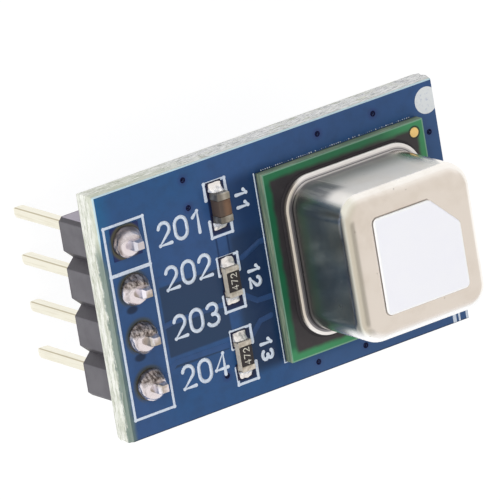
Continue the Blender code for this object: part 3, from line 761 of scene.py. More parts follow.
def can_finish(settings):
    """Drawn nickel silver: a soft sheen on top, scuffs on the walls, the -X one duller with a painted dark
    reflection, the +Y one hazy, a painted highlight on the -Y side, and small dents.
    """
    recipe, place = new_finish("nickel_silver")
    x, y, z = recipe.parts(place)
    across, along = x - can_middle.x, y - can_middle.y
    stain = recipe.grain(place, 0.45, 5.0, 0.6)
    patch = recipe.grain(place, 0.6, 4.0, 0.6)
    fine = recipe.grain(place, 10.0, 4.0, 0.65)
    wall = z.rise(can_bend + 0.2 * can_shoulder, can_bend - 0.1 * can_shoulder)
    wall = wall * z.rise(flange_top + 0.01 * mm, flange_top + 0.03 * mm)
    # The -X wall: duller, its darker tone a painted reflection
    dull = wall * across.rise(-0.86 * can_reach, -0.95 * can_reach)
    hazy = wall * along.rise(0.86 * can_reach, 0.95 * can_reach)
    hazy = hazy * across.rise(0.7 * can_reach, 0.45 * can_reach)
    flange = z.rise(flange_top + 0.08 * mm, flange_top + 0.04 * mm)
    # Painted highlight on the top of the -Y wall and its shoulder
    painted_light = along.rise(-0.72 * can_reach, -0.9 * can_reach) * z.rise(can_bend - 1.4 * mm, can_bend - 0.5 * mm)
    painted_light = painted_light * z.rise(can_high.z - hair, can_high.z - 0.2 * can_shoulder)
    tone = recipe.blend(stain.rise(0.4, 0.75) * 0.4, settings.metal_colour, paint(218, 208, 194))
    # Scuffs mixed with a painted dark reflection on the -X wall
    scuffs_and_painted_reflection = recipe.blend(patch.rise(0.4, 0.65), settings.wall_colour, paint(138, 148, 146))
    tone = recipe.blend(dull, tone, scuffs_and_painted_reflection)
    tone = shoulder_tones(recipe, settings, across, along, z, tone)
    tone = hazy_tones(recipe, settings, place, across, z, hazy, tone)
    tone = foot_tones(recipe, across, along, z, flange, painted_light, tone)
    tone = film_seat(recipe, x, y, z, tone)
    dents = recipe.specks(place, 1.3, 0.06)
    tone = recipe.blend(dents * 0.5, tone, paint(110, 100, 90))
    height = fine * 0.25 + patch * wall * 0.6
    return close_finish(
        recipe,
        tone,
        0.17 + stain * 0.1 + hazy * 0.15 + dull * 0.04,
        height,
        0.006 * mm,
        Metallic=1.0 - hazy * (0.3 + stain * 0.3) - dull * 0.08 - flange.most(painted_light * 0.6) * 0.8,
    )


def membrane_finish(settings):
    """Fine white filter felt, with a painted highlight along its edge."""
    recipe, place = new_finish("white_filter")
    cloud = recipe.grain(place, 0.7, 3.0)
    fine = recipe.grain(place, 22.0, 4.0, 0.7)
    tone = recipe.blend(cloud.rise(0.3, 0.8) * 0.35, settings.membrane_colour, paint(246, 246, 255))
    x, y, _ = recipe.parts(place)
    edge = 0.1 * mm
    flat = inner_zone(x, y, *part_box("filter_membrane"), edge, edge / 3)
    # Painted highlight: the edge made pure white
    tone = recipe.blend(1 - flat, tone, (1.0, 1.0, 1.0))
    return close_finish(recipe, tone, 0.85 + fine * 0.1, fine, 0.006 * mm)


def plain_finish(name, colour, roughness, metallic=0.0, shine=0.5):
    """A cloudy, fine-grained finish for small pieces and for those inside the can."""
    recipe, place = new_finish(name)
    cloud = recipe.grain(place, 1.5, 3.0)
    darker = tuple(part * 0.7 for part in colour)
    tone = recipe.blend(cloud.rise(0.3, 0.8) * 0.6, colour, darker)
    return close_finish(
        recipe,
        tone,
        roughness + cloud * 0.1,
        cloud,
        0.006 * mm,
        Metallic=metallic,
        Specular_IOR_Level=shine,
    )


def dress(node, finish):
    """Gives a piece of the construction its finish and leaves its shape alone."""
    materials = nodes[node].data.materials
    materials.clear()
    materials.append(finish)


def declare(piece, replaced=()):
    """Seats a finished piece on the module's one body."""
    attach(piece, body)
    if replaced:
        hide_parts(*replaced)
    return piece


def mesh_from(form, name):
    """A mesh made from a bmesh, which is freed."""
    mesh = bpy.data.meshes.new(name)
    form.to_mesh(mesh)
    form.free()
    return mesh


def link_mesh(name, form, finish, sharp_from=35.0):
    """An object made from a bmesh, shaded smooth where it is round."""
    mesh = mesh_from(form, name)
    mesh.shade_smooth()
    mesh.set_sharp_from_angle(angle=math.radians(sharp_from))
    mesh.materials.append(finish)
    made = bpy.data.objects.new(name, mesh)
    bpy.context.scene.collection.objects.link(made)
    return made


def merged_copy(node):
    """A bmesh of a piece of the construction, with its loose triangles joined at their corners."""
    form = bmesh.new()
    form.from_mesh(nodes[node].data)
    bmesh.ops.remove_doubles(form, verts=form.verts, dist=hair / 20)
    return form


def join_flat(form, edges):
    """Makes whole faces of triangles that lie in one plane, across the given edges."""
    corners = list({vert for edge in edges for vert in edge.verts})
    bmesh.ops.dissolve_limit(form, angle_limit=math.radians(1.0), verts=corners, edges=list(edges))


def softened(node, finish, edge):
    """A copy of a piece with rounded edges, in that piece's stead."""
    form = merged_copy(node)
    join_flat(form, form.edges)
    made = link_mesh(f"{node}_finished", form, finish)
    bevel = made.modifiers.new("rounded_edges", "BEVEL")
    bevel.width = edge
    bevel.segments = 3
    bevel.limit_method = "ANGLE"
    bevel.angle_limit = math.radians(40)
    bevel.harden_normals = True
    return declare(made, [node])


def skin(form, rings, closed=False):
    """Faces between rings of equally many points. The end rings are capped, or joined."""
    rows = [[form.verts.new(point) for point in ring] for ring in rings]
    pairs = list(zip(rows, rows[1:]))
    if closed:
        pairs.append((rows[-1], rows[0]))
    else:
        form.faces.new(list(reversed(rows[0])))
        form.faces.new(rows[-1])
    for low, high in pairs:
        for i in range(len(low)):
            j = (i + 1) % len(low)
            form.faces.new((low[i], low[j], high[j], high[i]))
    if form.calc_volume(signed=True) < 0:
        bmesh.ops.reverse_faces(form, faces=form.faces)
    return form


def rounded_outline(width, depth, radius, steps, centre=(0.0, 0.0)):
    """A rectangle with round corners, anticlockwise."""
    radius = max(min(radius, width / 2, depth / 2), hair)
    points = []
    for turn, (sx, sy) in enumerate([(1, 1), (-1, 1), (-1, -1), (1, -1)]):
        cx = centre[0] + sx * (width / 2 - radius)
        cy = centre[1] + sy * (depth / 2 - radius)
        for step in range(steps + 1):
            angle = math.pi / 2 * (turn + step / steps)
            points.append((cx + radius * math.cos(angle), cy + radius * math.sin(angle)))
    return points


def raised(outline, z):
    """A flat outline's points at a height."""
    return [Vector((x, y, z)) for x, y in outline]


def new_tree(name, inputs):
    """A Geometry Nodes tree with a geometry input, named inputs and a material."""
    tree = bpy.data.node_groups.new(name, "GeometryNodeTree")
    tree.interface.new_socket(name="Geometry", in_out="INPUT", socket_type="NodeSocketGeometry")
    for label, kind in inputs.items():
        tree.interface.new_socket(name=label, in_out="INPUT", socket_type=kind)
    tree.interface.new_socket(name="Finish", in_out="INPUT", socket_type="NodeSocketMaterial")
    tree.interface.new_socket(name="Geometry", in_out="OUTPUT", socket_type="NodeSocketGeometry")
    recipe = Recipe(tree)
    return tree, recipe, recipe.add("NodeGroupInput")


def end_tree(recipe, start, geometry):
    """Copies made real, the finish set, and the tree's output."""
    real = recipe.add("GeometryNodeRealizeInstances", sockets={"Geometry": geometry})
    dressed = recipe.add(
        "GeometryNodeSetMaterial", sockets={"Geometry": real, "Material": start.output("Finish")}
    )
    recipe.add("NodeGroupOutput", sockets={"Geometry": dressed})


def line_tree():
    """Ribbons of one width and thickness along edges, with a disc at each corner and end."""
    tree, recipe, start = new_tree("flat_lines", {"Width": "NodeSocketFloat", "Thickness": "NodeSocketFloat"})
    width, thickness = start.output("Width"), start.output("Thickness")
    path = recipe.add("GeometryNodeMeshToCurve", sockets={"Mesh": start.output("Geometry")})
    path = recipe.add("GeometryNodeSetCurveNormal", {"mode": "Z_UP"}, {"Curve": path})
    section = recipe.add(
        "GeometryNodeCurvePrimitiveQuadrilateral", sockets={"Width": width, "Height": thickness}
    )
    ribbon = recipe.add(
        "GeometryNodeCurveToMesh", sockets={"Curve": path, "Profile Curve": section, "Fill Caps": True}
    )
    disc = recipe.add(
        "GeometryNodeMeshCylinder", sockets={"Vertices": 16, "Radius": width / 2, "Depth": thickness}
    )
    turns = recipe.add("GeometryNodeInputNamedAttribute", {"data_type": "FLOAT"}, {"Name": "corner"})
    ends = recipe.add(
        "GeometryNodeInstanceOnPoints",
        sockets={"Points": start.output("Geometry"), "Selection": turns, "Instance": disc},
    )
    joined = recipe.add("GeometryNodeJoinGeometry", sockets={"Geometry": [ribbon, ends]})
    real = recipe.add("GeometryNodeRealizeInstances", sockets={"Geometry": joined})
    whole = recipe.add(
        "GeometryNodeMeshBoolean",
        {"operation": "UNION", "solver": "EXACT"},
        {"Mesh 2": [real], "Self Intersection": True},
    )
    end_tree(recipe, start, whole)
    return tree


def fibre_tree():
    """Short glass fibres scattered over faces, lying mostly along them and level."""
    sizes = {"Density": "NodeSocketFloat", "Length": "NodeSocketFloat", "Radius": "NodeSocketFloat"}
    tree, recipe, start = new_tree("torn_fibres", sizes)
    scatter = recipe.add(
        "GeometryNodeDistributePointsOnFaces",
        sockets={"Mesh": start.output("Geometry"), "Density": start.output("Density"), "Seed": 11},
    )
    upright = (0.0, 0.0, 1.0)
    crossing = {"operation": "CROSS_PRODUCT"}
    along = recipe.add("ShaderNodeVectorMath", crossing, {0: scatter.output("Normal"), 1: upright})
    down, up = (0.0, 0.0, -0.25), (0.0, 0.0, 0.25)
    stray = recipe.add(
        "FunctionNodeRandomValue", {"data_type": "FLOAT_VECTOR"}, {0: down, 1: up, "Seed": 5}
    )
    heading = recipe.add("ShaderNodeVectorMath", {"operation": "ADD"}, {0: along, 1: stray})
    turn = recipe.add("FunctionNodeAlignRotationToVector", {"axis": "Z"}, {"Vector": heading})
    stretch = recipe.chance(0.3, 1.0, seed=7)
    scale = recipe.add("ShaderNodeCombineXYZ", sockets={"X": 1.0, "Y": 1.0, "Z": stretch})
    sliver = recipe.add(
        "GeometryNodeMeshCylinder",
        sockets={"Vertices": 5, "Radius": start.output("Radius"), "Depth": start.output("Length")},
    )
    placed = recipe.add(
        "GeometryNodeInstanceOnPoints",
        sockets={"Points": scatter, "Instance": sliver, "Rotation": turn, "Scale": scale},
    )
    end_tree(recipe, start, placed)
    return tree


def ring_tree():
    """A flat ring at each point."""
    sizes = {"Radius": "NodeSocketFloat", "Width": "NodeSocketFloat", "Thickness": "NodeSocketFloat"}
    tree, recipe, start = new_tree("flat_rings", sizes)
    circle = recipe.add(
        "GeometryNodeCurvePrimitiveCircle", sockets={"Resolution": 32, "Radius": start.output("Radius")}
    )
    circle = recipe.add("GeometryNodeSetCurveNormal", {"mode": "Z_UP"}, {"Curve": circle})
    section = recipe.add(
        "GeometryNodeCurvePrimitiveQuadrilateral",
        sockets={"Width": start.output("Width"), "Height": start.output("Thickness")},
    )
    ring = recipe.add("GeometryNodeCurveToMesh", sockets={"Curve": circle, "Profile Curve": section})
    placed = recipe.add(
        "GeometryNodeInstanceOnPoints", sockets={"Points": start.output("Geometry"), "Instance": ring}
    )
    end_tree(recipe, start, placed)
    return tree


def ball_tree():
    """A small ball at even steps along each edge."""
    tree, recipe, start = new_tree("solder_balls", {"Radius": "NodeSocketFloat", "Pitch": "NodeSocketFloat"})
    path = recipe.add("GeometryNodeMeshToCurve", sockets={"Mesh": start.output("Geometry")})
    stops = recipe.add(
        "GeometryNodeCurveToPoints", {"mode": "LENGTH"}, {"Curve": path, "Length": start.output("Pitch")}
    )
    swell = recipe.chance(0.1, 1.15, seed=3)
    ball = recipe.add(
        "GeometryNodeMeshIcoSphere", sockets={"Radius": start.output("Radius"), "Subdivisions": 2}
    )
    placed = recipe.add(
        "GeometryNodeInstanceOnPoints", sockets={"Points": stops, "Instance": ball, "Scale": swell}
    )
    end_tree(recipe, start, placed)
    return tree


def grow(name, mesh, tree, values, finish):
    """Runs a tree on a mesh and keeps what it makes as a plain mesh."""
    made = bpy.data.objects.new(name, mesh)
    bpy.context.scene.collection.objects.link(made)
    modifier = made.modifiers.new(tree.name, "NODES")
    modifier.node_group = tree
    given = {**values, "Finish": finish}
    for item in tree.interface.items_tree:
        if item.in_out == "INPUT" and item.name in given:
            modifier[item.identifier] = given[item.name]
    graph = bpy.context.evaluated_depsgraph_get()
    plain = bpy.data.meshes.new_from_object(made.evaluated_get(graph))
    if not plain.polygons:
        raise RuntimeError(f"{name} came out empty")
    made.modifiers.remove(modifier)
    made.data = plain
    plain.name = name
    return made


def stroke_mesh(name, strokes, level):
    """Edges along each stroke, a list of flat points, all at one height. Ends and corners are marked."""
    form = bmesh.new()
    corner = form.verts.layers.float.new("corner")
    for stroke in strokes:
        points = [form.verts.new((x, y, level)) for x, y in stroke[:-1]]
        closed = math.dist(stroke[0], stroke[-1]) < hair
        points.append(points[0] if closed else form.verts.new((*stroke[-1], level)))
        for first, second in zip(points, points[1:]):
            form.edges.new((first, second))
    nearly_straight = -0.85
    for vert in form.verts:
        ways = [(edge.other_vert(vert).co - vert.co).normalized() for edge in vert.link_edges]
        passed = len(ways) == 2 and ways[0].dot(ways[1]) < nearly_straight
        vert[corner] = 0.0 if passed else 1.0
    return mesh_from(form, name)


def draw_lines(name, strokes, level, width, thickness, finish):
    """Printed or etched lines that lie on a face at the given level."""
    source = stroke_mesh(name, strokes, level + thickness / 2)
    made = grow(name, source, line_tree(), {"Width": width, "Thickness": thickness}, finish)
    return declare(made)


def arc(cx, cy, rx, ry, start, end, steps=9):
    """Points along part of an ellipse, its angles in degrees."""
    turns = [math.radians(start + (end - start) * i / steps) for i in range(steps + 1)]
    return [(cx + rx * math.cos(turn), cy + ry * math.sin(turn)) for turn in turns]


def digit_strokes(digit):
    """A digit's strokes in a cell one unit wide and one unit high."""
    shapes = {
        "0": [arc(0.5, 0.66, 0.5, 0.34, 180, 0) + arc(0.5, 0.34, 0.5, 0.34, 0, -180) + [(0.0, 0.66)]],
        "1": [[(0.15, 0.76), (0.58, 1.0), (0.58, 0.0)]],
        "2": [arc(0.5, 0.7, 0.46, 0.3, 165, -38) + [(0.02, 0.0), (1.0, 0.0)]],
        "3": [arc(0.46, 0.75, 0.44, 0.25, 150, -90), arc(0.46, 0.26, 0.5, 0.26, 88, -150)],
        "4": [[(0.74, 0.0), (0.74, 1.0), (0.0, 0.3), (1.0, 0.3)]],
        "7": [[(0.0, 1.0), (1.0, 1.0), (0.36, 0.0)]],
    }
    return shapes[digit]


def number_strokes(number, corner, along, up, width, height, step):
    """A number's strokes on the board, from its first digit's lower left corner."""

    def point(place, u, v):
        across, above = place * step + u * width, v * height
        return corner[0] + across * along[0] + above * up[0], corner[1] + across * along[1] + above * up[1]

    return [
        [point(place, u, v) for u, v in stroke]
        for place, digit in enumerate(number)
        for stroke in digit_strokes(digit)
    ]


def closed_box(low, high):
    """A rectangle's stroke, back to where it starts."""
    return [(low[0], low[1]), (high[0], low[1]), (high[0], high[1]), (low[0], high[1]), (low[0], low[1])]


def bracket_pair(low, high, upper_leg, lower_left_leg, lower_right_leg):
    """Two brackets that face each other round a chip part, open where the part lies."""
    return [
        [(low[0], upper_leg), (low[0], high[1]), (high[0], high[1]), (high[0], upper_leg)],
        [(low[0], lower_left_leg), (low[0], low[1]), (high[0], low[1]), (high[0], lower_right_leg)],
    ]


def board_print():
    """The printed lines around the header and the chip parts."""
    left, right, low, high, bar = -1.21 * mm, 1.2 * mm, -5.39 * mm, 4.81 * mm, 2.25 * mm
    strokes = [closed_box((left, low), (right, high)), [(left, bar), (right, bar)]]
    strokes += bracket_pair(*chip_frames[0], 4.4 * mm, 3.26 * mm, 2.89 * mm)
    strokes += bracket_pair(*chip_frames[1], 0.35 * mm, -0.78 * mm, -0.78 * mm)
    strokes += bracket_pair(*chip_frames[2], -3.59 * mm, -4.62 * mm, -4.62 * mm)
    return strokes


def number_column(first, rows, x, along, up, width, height, step):
    """Plain numbers in order down the board, each from its row's level."""
    strokes = []
    for number, y in enumerate(rows, start=first):
        strokes += number_strokes(str(number), (x, y), along, up, width, height, step)
    return strokes


def pin_numbers(settings):
    """A plain number beside each pin."""
    rows = (2.94 * mm, 0.58 * mm, -2.02 * mm, -4.72 * mm)
    height = settings.number_height
    return number_column(201, rows, 1.95 * mm, (1.0, 0.0), (0.0, 1.0), 0.72 * mm, height, 1.02 * mm)


def chip_numbers():
    """A plain number beside each chip part, read down the board."""
    rows = (4.4 * mm, 0.32 * mm, -3.62 * mm)
    return number_column(11, rows, 6.86 * mm, (0.0, -1.0), (1.0, 0.0), 0.46 * mm, 0.62 * mm, 0.66 * mm)


def track_routes():
    """Narrow tracks between the header, the chip parts and the sensor."""
    rows = pin_rows
    return [
        [(0.9 * mm, rows[1]), (1.9 * mm, rows[1]), (2.15 * mm, 1.0 * mm), (4.9 * mm, 0.92 * mm)],
        [(0.9 * mm, rows[2]), (1.9 * mm, -1.11 * mm), (5.3 * mm, -1.16 * mm)],
        [(0.9 * mm, rows[3]), (1.7 * mm, -3.22 * mm), (5.2 * mm, -3.3 * mm)],
        [(6.45 * mm, -1.1 * mm), (7.1 * mm, -1.56 * mm), (7.94 * mm, -1.59 * mm)],
        [(6.5 * mm, -3.2 * mm), (7.07 * mm, -2.65 * mm), (7.75 * mm, -2.56 * mm)],
        [(6.6 * mm, 0.9 * mm), (7.15 * mm, 1.11 * mm), (7.74 * mm, 1.38 * mm), (8.1 * mm, 1.4 * mm)],
    ]


def via_points():
    """Middles of the small plated holes: 4 near the +Y edge and 4 near the -Y edge or the end."""
    near, far = face_low.x, face_high.x
    low, high = face_low.y, face_high.y
    return [
        (near + 5.4 * mm, high - 0.69 * mm),
        (near + 5.46 * mm, high - 2.19 * mm),
        (near + 6.08 * mm, low + 1.62 * mm),
        (far - 9.44 * mm, low + 0.6 * mm),
        (far - 6.47 * mm, low + 0.55 * mm),
        (far - 7.29 * mm, high - 0.77 * mm),
        (far - 3.79 * mm, high - 0.75 * mm),
        (far - 0.57 * mm, high - 2.71 * mm),
    ]


def outward(point):
    """Which way is out of the board at a point of its edge, along X and Y."""
    x = (point.x > face_high.x - hair) - (point.x < face_low.x + hair)
    y = (point.y > face_high.y - hair) - (point.y < face_low.y + hair)
    return Vector((x, y, 0.0))


def torn_board(settings, finish):
    """The board with its four broken edges torn a little into their own bulge."""
    form = merged_copy("carrier_board")
    long_side = 5 * mm
    cuts_along, cuts_up = 150, 5
    coarse_tear, fine_tear = 0.5 * mm, 0.13 * mm

    def on_side(face):
        return all(outward(vert.co).length > 0 for vert in face.verts) and abs(face.normal.z) < 0.9

    slanted = [e for e in form.edges if len(e.link_faces) == 2 and all(on_side(f) for f in e.link_faces)]
    join_flat(form, slanted)
    level = [e for e in form.edges if e.calc_length() > long_side and any(on_side(f) for f in e.link_faces)]
    bmesh.ops.subdivide_edges(form, edges=level, cuts=cuts_along, use_grid_fill=True)
    steep = [
        e
        for e in form.edges
        if abs(e.verts[0].co.z - e.verts[1].co.z) > score_depth / 2
        and outward(e.verts[0].co).length > 0
        and outward(e.verts[1].co).length > 0
    ]
    bmesh.ops.subdivide_edges(form, edges=steep, cuts=cuts_up, use_grid_fill=True)
    for vert in form.verts:
        out = outward(vert.co)
        depth = min(vert.co.z - board_underside, board_top - vert.co.z)
        if out.length == 0 or depth < hair:
            continue
        bulge = min(depth / score_depth, 1.0)
        coarse = noise.noise(Vector((vert.co.x, vert.co.y, vert.co.z * 3)) / coarse_tear)
        fine = noise.noise(Vector((vert.co.x, vert.co.y, vert.co.z * 2)) / fine_tear)
        share = min(max(0.5 + 0.6 * coarse + 0.5 * fine, 0.0), 1.0)
        vert.co -= out * settings.edge_roughness * bulge * share
    made = link_mesh("carrier_board_torn", form, finish, sharp_from=40)
    for face in made.data.polygons:
        face.use_smooth = abs(face.normal.z) < 0.99
    return declare(made, ["carrier_board"])


def edge_faces():
    """The four upright bands that the fibres are scattered over, just inside the board's reach."""
    inset = 0.035 * mm
    low, high = board_low + Vector((inset, inset, 0)), board_high - Vector((inset, inset, 0))
    bottom, top = board_underside + score_depth * 0.7, board_top - score_depth * 0.7
    corners = [(low.x, low.y), (high.x, low.y), (high.x, high.y), (low.x, high.y)]
    ease = 0.04
    form = bmesh.new()
    for (x0, y0), (x1, y1) in zip(corners, corners[1:] + corners[:1]):
        a = Vector((x0, y0, 0)).lerp(Vector((x1, y1, 0)), ease)
        b = Vector((x1, y1, 0)).lerp(Vector((x0, y0, 0)), ease)
        band = ((a, bottom), (b, bottom), (b, top), (a, top))
        form.faces.new([form.verts.new((p.x, p.y, z)) for p, z in band])
    form.normal_update()
    area = sum(face.calc_area() for face in form.faces)
    return mesh_from(form, "torn_edge_bands"), area


def solder_joint(number, y, settings, finish):
    """Solder frozen round a pin: low and flat-topped towards -Y, steep towards +Y, with the pin's tip out."""
    low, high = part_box(f"header_solder_{number}")
    steps, levels = 64, 20
    foot, collar, hole = 0.82 * mm, 0.47 * mm, pin_side * 0.4
    height = high.z - low.z
    shake = settings.joint_waviness
    steepest = math.radians(70)

    def flank(angle):
        return 0.5 + 0.5 * math.cos(angle - steepest)

    def top(angle):
        return low.z + height * (0.46 + 0.54 * flank(angle))

    angles = [2 * math.pi * step / steps for step in range(steps)]
    rings = []
    for level in range(levels + 1):
        share = level / levels
        ring = []
        for angle in angles:
            steep = flank(angle)
            c, s = math.cos(angle), math.sin(angle)
            radius = collar + (foot - collar) * (1 - share ** (2.6 - 1.4 * steep)) ** (0.45 + 0.45 * steep)
            bend = noise.noise((c * 1.1 + number * 5, s * 1.1, share * 1.3))
            ripple = noise.noise((c * 3 + number * 3, s * 3, share * 4))
            belly = math.sin(math.pi * min(share + 0.15, 1.0))
            radius *= 1 + shake * (bend * 2.0 + ripple * 0.6) * belly
            z = low.z + (top(angle) - low.z) * share
            ring.append(Vector((c * radius, y + s * radius, z)))
        rings.append(ring)
    for rim in (top, lambda angle: low.z):
        ring = []
        for angle in angles:
            c, s = math.cos(angle), math.sin(angle)
            reach = hole / max(abs(c), abs(s))
            ring.append(Vector((c * reach, y + s * reach, rim(angle))))
        rings.append(ring)
    form = skin(bmesh.new(), rings, closed=True)
    made = link_mesh(f"header_solder_{number}_frozen", form, finish, sharp_from=70)
    return declare(made, [f"header_solder_{number}"])


def chip_solder(node, settings, finish, seed):
    """Solder from a chip's end down to the pad: hollow, brighter in pools and uneven at its foot."""
    low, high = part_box(node)
    chip = node.rsplit("_solder", 1)[0]
    inner_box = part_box(f"{chip}_body" if chip == "capacitor" else f"{chip}_ceramic")
    middle_y = (inner_box[0].y + inner_box[1].y) / 2
    end = 1 if (low.y + high.y) / 2 > middle_y else -1
    wall = low.y if end > 0 else high.y
    reach = 0.42 * mm
    lip, thinnest = 0.05 * mm, 0.015 * mm
    half_width = (high.x - low.x) / 2
    middle_x = (low.x + high.x) / 2
    rise = high.z - low.z
    across, down = 20, 12
    rings = []
    for i in range(across + 1):
        u = -1 + 2 * i / across
        x = middle_x + u * half_width
        shoulder = max(1 - abs(u) ** 5, 0.0)
        profile = [(wall, low.z)]
        wander = noise.noise((u * 1.4, seed * 3.1, 0.0)) * settings.solder_waviness
        foot = reach * (1 + 0.5 * wander) * (0.9 + 0.1 * shoulder)
        profile.append((wall + end * foot, low.z))
        for j in range(down + 1):
            along = 1 - j / down
            pool = noise.noise((u * 2.2 + seed, along * 2.2, seed * 1.7)) * settings.solder_waviness
            height = lip + (rise - lip) * (1 - along) ** 1.7 * (0.35 + 0.65 * shoulder)
            height += rise * 0.45 * pool * math.sin(math.pi * along)
            profile.append((wall + end * foot * along, low.z + max(height, thinnest)))
        ring = []
        for py, pz in profile:
            out = abs(py - wall) / reach
            narrow = 1 - 0.3 * out * (0.5 + noise.noise((out * 1.5, seed * 2.3, u)))
            ring.append(Vector((middle_x + (x - middle_x) * narrow, py, pz)))
        rings.append(ring)
    form = skin(bmesh.new(), rings)
    made = link_mesh(f"{node}_frozen", form, finish, sharp_from=50)
    return declare(made, [node])


def can_section(inset, level, steps=14):
    """The can's outline drawn in by an inset, at a height above its foot."""
    side = can_side - 2 * inset
    outline = rounded_outline(side, side, can_corner - inset, steps, (can_middle.x, can_middle.y))
    return raised(outline, can_low.z + level)


def vent_section(level):
    """The vent's round rim at a height above the can's foot, with a point for each of the outline's."""
    points = []
    for point in can_section(0.0, level):
        angle = math.atan2(point.y - can_middle.y, point.x - can_middle.x)
        x = can_middle.x + vent_diameter / 2 * math.cos(angle)
        y = can_middle.y + vent_diameter / 2 * math.sin(angle)
        points.append(Vector((x, y, can_low.z + level)))
    return points


def shoulder_sections(radius, wall_inset, top, steps=16):
    """Sections up a round shoulder, from the wall to the flat top."""
    sections = []
    for step in range(steps + 1):
        angle = math.pi / 2 * step / steps
        inset = wall_inset + radius * (1 - math.cos(angle))
        sections.append(can_section(inset, top - radius * (1 - math.sin(angle))))
    return sections


def drawn_can(finish):
    """The can as one drawn sheet, fine enough to mirror the light without facets."""
    height = can_high.z - can_low.z
    outer = shoulder_sections(can_shoulder, 0.0, height)
    inner = shoulder_sections(can_shoulder - can_wall, can_wall, height - can_wall)
    fillet, turns = 0.04 * mm, 6
    flange = (
        (can_wall, 0.0),
        (-can_flange + 0.03 * mm, 0.0),
        (-can_flange, 0.03 * mm),
        (-can_flange, can_wall - 0.07 * mm),
        (-can_flange + 0.02 * mm, can_wall - 0.02 * mm),
        (-can_flange + 0.07 * mm, can_wall),
    )
    foot = [can_section(inset, level) for inset, level in flange]
    for step in range(turns + 1):
        angle = math.pi / 2 * step / turns
        inset = -fillet * (1 - math.sin(angle))
        foot.append(can_section(inset, can_wall + fillet * (1 - math.cos(angle))))
    rings = foot + outer + [vent_section(height), vent_section(height - can_wall)]
    rings += list(reversed(inner))
    form = skin(bmesh.new(), rings, closed=True)
    made = link_mesh("sensor_can_drawn", form, finish, sharp_from=50)
    return declare(made, ["sensor_can"])


def adhesive_bead(finish):
    """The bead that holds the can down, squeezed out unevenly past the foot."""
    low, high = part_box("can_adhesive")
    steps = 24
    side = high.x - low.x
    corner = can_corner + (side - can_side) / 2
    outline = rounded_outline(side, side, corner, steps, (can_middle.x, can_middle.y))
    band = 0.66 * mm

    def ring(inset, z):
        points = []
        for x, y in outline:
            out = Vector((x - can_middle.x, y - can_middle.y, 0.0))
            wave = 0.05 * mm * abs(noise.noise(Vector((x, y, 0.0)) / (0.8 * mm)))
            shrink = (out.length - inset - wave) / out.length
            points.append(Vector((can_middle.x, can_middle.y, z)) + out * shrink)
        return points

    middle = (low.z + high.z) / 2
    levels = ((band, low.z), (0.0, low.z), (0.01 * mm, middle), (0.05 * mm, high.z), (band, high.z))
    form = skin(bmesh.new(), [ring(inset, z) for inset, z in levels], closed=True)
    made = link_mesh("can_adhesive_bead", form, finish, sharp_from=60)
    return declare(made, ["can_adhesive"])


def printed_disc(settings, finish):
    """A plain printed disc at the board's far corner, cut by the edge."""
    radius, limit = 0.71 * mm, face_high.x - hair
    circle = arc(19.1 * mm, 5.52 * mm, radius, radius, 0, 360, steps=64)[:-1]
    outline = [(min(x, limit), y) for x, y in circle]
    low = raised(outline, board_top)
    high = raised(outline, board_top + settings.print_thickness)
    made = link_mesh("printed_disc", skin(bmesh.new(), [low, high]), finish)
    return declare(made)


def printed_bars(settings, finish):
    """Short printed bars at the near corner of the far edge."""
    form = bmesh.new()
    top = board_top + settings.print_thickness
    low, high = -6.42 * mm, -5.92 * mm
    for left, right in ((18.6 * mm, 18.81 * mm), (18.95 * mm, 19.06 * mm), (19.42 * mm, 19.53 * mm)):
        outline = [(left, low), (right, low), (right, high), (left, high)]
        skin(form, [raised(outline, board_top), raised(outline, top)])
    made = link_mesh("printed_bars", form, finish)
    return declare(made)


def require(*names):
    """Stops a step whose pieces the construction doesn't have."""
    missing = [name for name in names if name not in nodes]
    if missing:
        raise RuntimeError(f"the construction has no {', '.join(missing)}")


class SENSOR_OT_board(bpy.types.Operator):
    """Finish the carrier board: blue mask, tinned pads and torn edges"""

    bl_idname = "sensor_module.board"
    bl_label = "Carrier board"
    bl_options = {"REGISTER", "UNDO"}

    def execute(self, context):
        require("carrier_board")
        settings = context.scene.module_board
        torn_board(settings, board_finish(settings))
        bands, area = edge_faces()
        values = {"Density": settings.fibre_count / area, "Length": 0.9 * mm, "Radius": 0.011 * mm}
        fibres = grow("edge_fibres", bands, fibre_tree(), values, fibre_finish(settings))
        declare(fibres)
        return {"FINISHED"}


class SENSOR_OT_tracks(bpy.types.Operator):
    """Lift the mask over the tracks and darken it round the plated holes"""

    bl_idname = "sensor_module.tracks"
    bl_label = "Tracks and plated holes"
    bl_options = {"REGISTER", "UNDO"}

    def execute(self, context):
        require("carrier_board")
        settings = context.scene.module_board
        finish = track_finish(settings)
        width, thickness = settings.track_width, settings.track_thickness
        draw_lines("copper_tracks", track_routes(), board_top, width, thickness, finish)
        source = bpy.data.meshes.new("plated_holes")
        source.from_pydata([(x, y, board_top + 0.003 * mm) for x, y in via_points()], [], [])
        halo = plain_finish("mask_round_holes", paint(20, 22, 58), 0.5, shine=0.08)
        values = {"Radius": 0.38 * via_drill, "Width": 0.08 * mm, "Thickness": 0.006 * mm}
        rings = grow("plated_hole_rims", source, ring_tree(), values, halo)
        declare(rings)
        return {"FINISHED"}


class SENSOR_OT_print(bpy.types.Operator):
    """Print the outlines, numbers, disc and bars on the board"""

    bl_idname = "sensor_module.print"
    bl_label = "Board print"
    bl_options = {"REGISTER", "UNDO"}

    def execute(self, context):
        require("carrier_board")
        settings = context.scene.module_board
        ink = print_finish("white_print", settings.print_colour)
        width, thickness = settings.line_width, settings.print_thickness
        edge, low = base_low.x - 0.07 * mm, base_low.y - 0.06 * mm
        corner = [[(edge, base_high.y), (edge, low), (base_low.x + 0.8 * mm, low)]]
        for name, strokes, line in (
            ("outlines_print", board_print(), width),
            ("pin_numbers_print", pin_numbers(settings), width),
            ("chip_numbers_print", chip_numbers(), width),
            ("sensor_outline_print", corner, 0.07 * mm),
        ):
            draw_lines(name, strokes, board_top, line, thickness, ink)
        printed_disc(settings, print_finish("disc_print", settings.disc_colour))
        printed_bars(settings, ink)
        return {"FINISHED"}


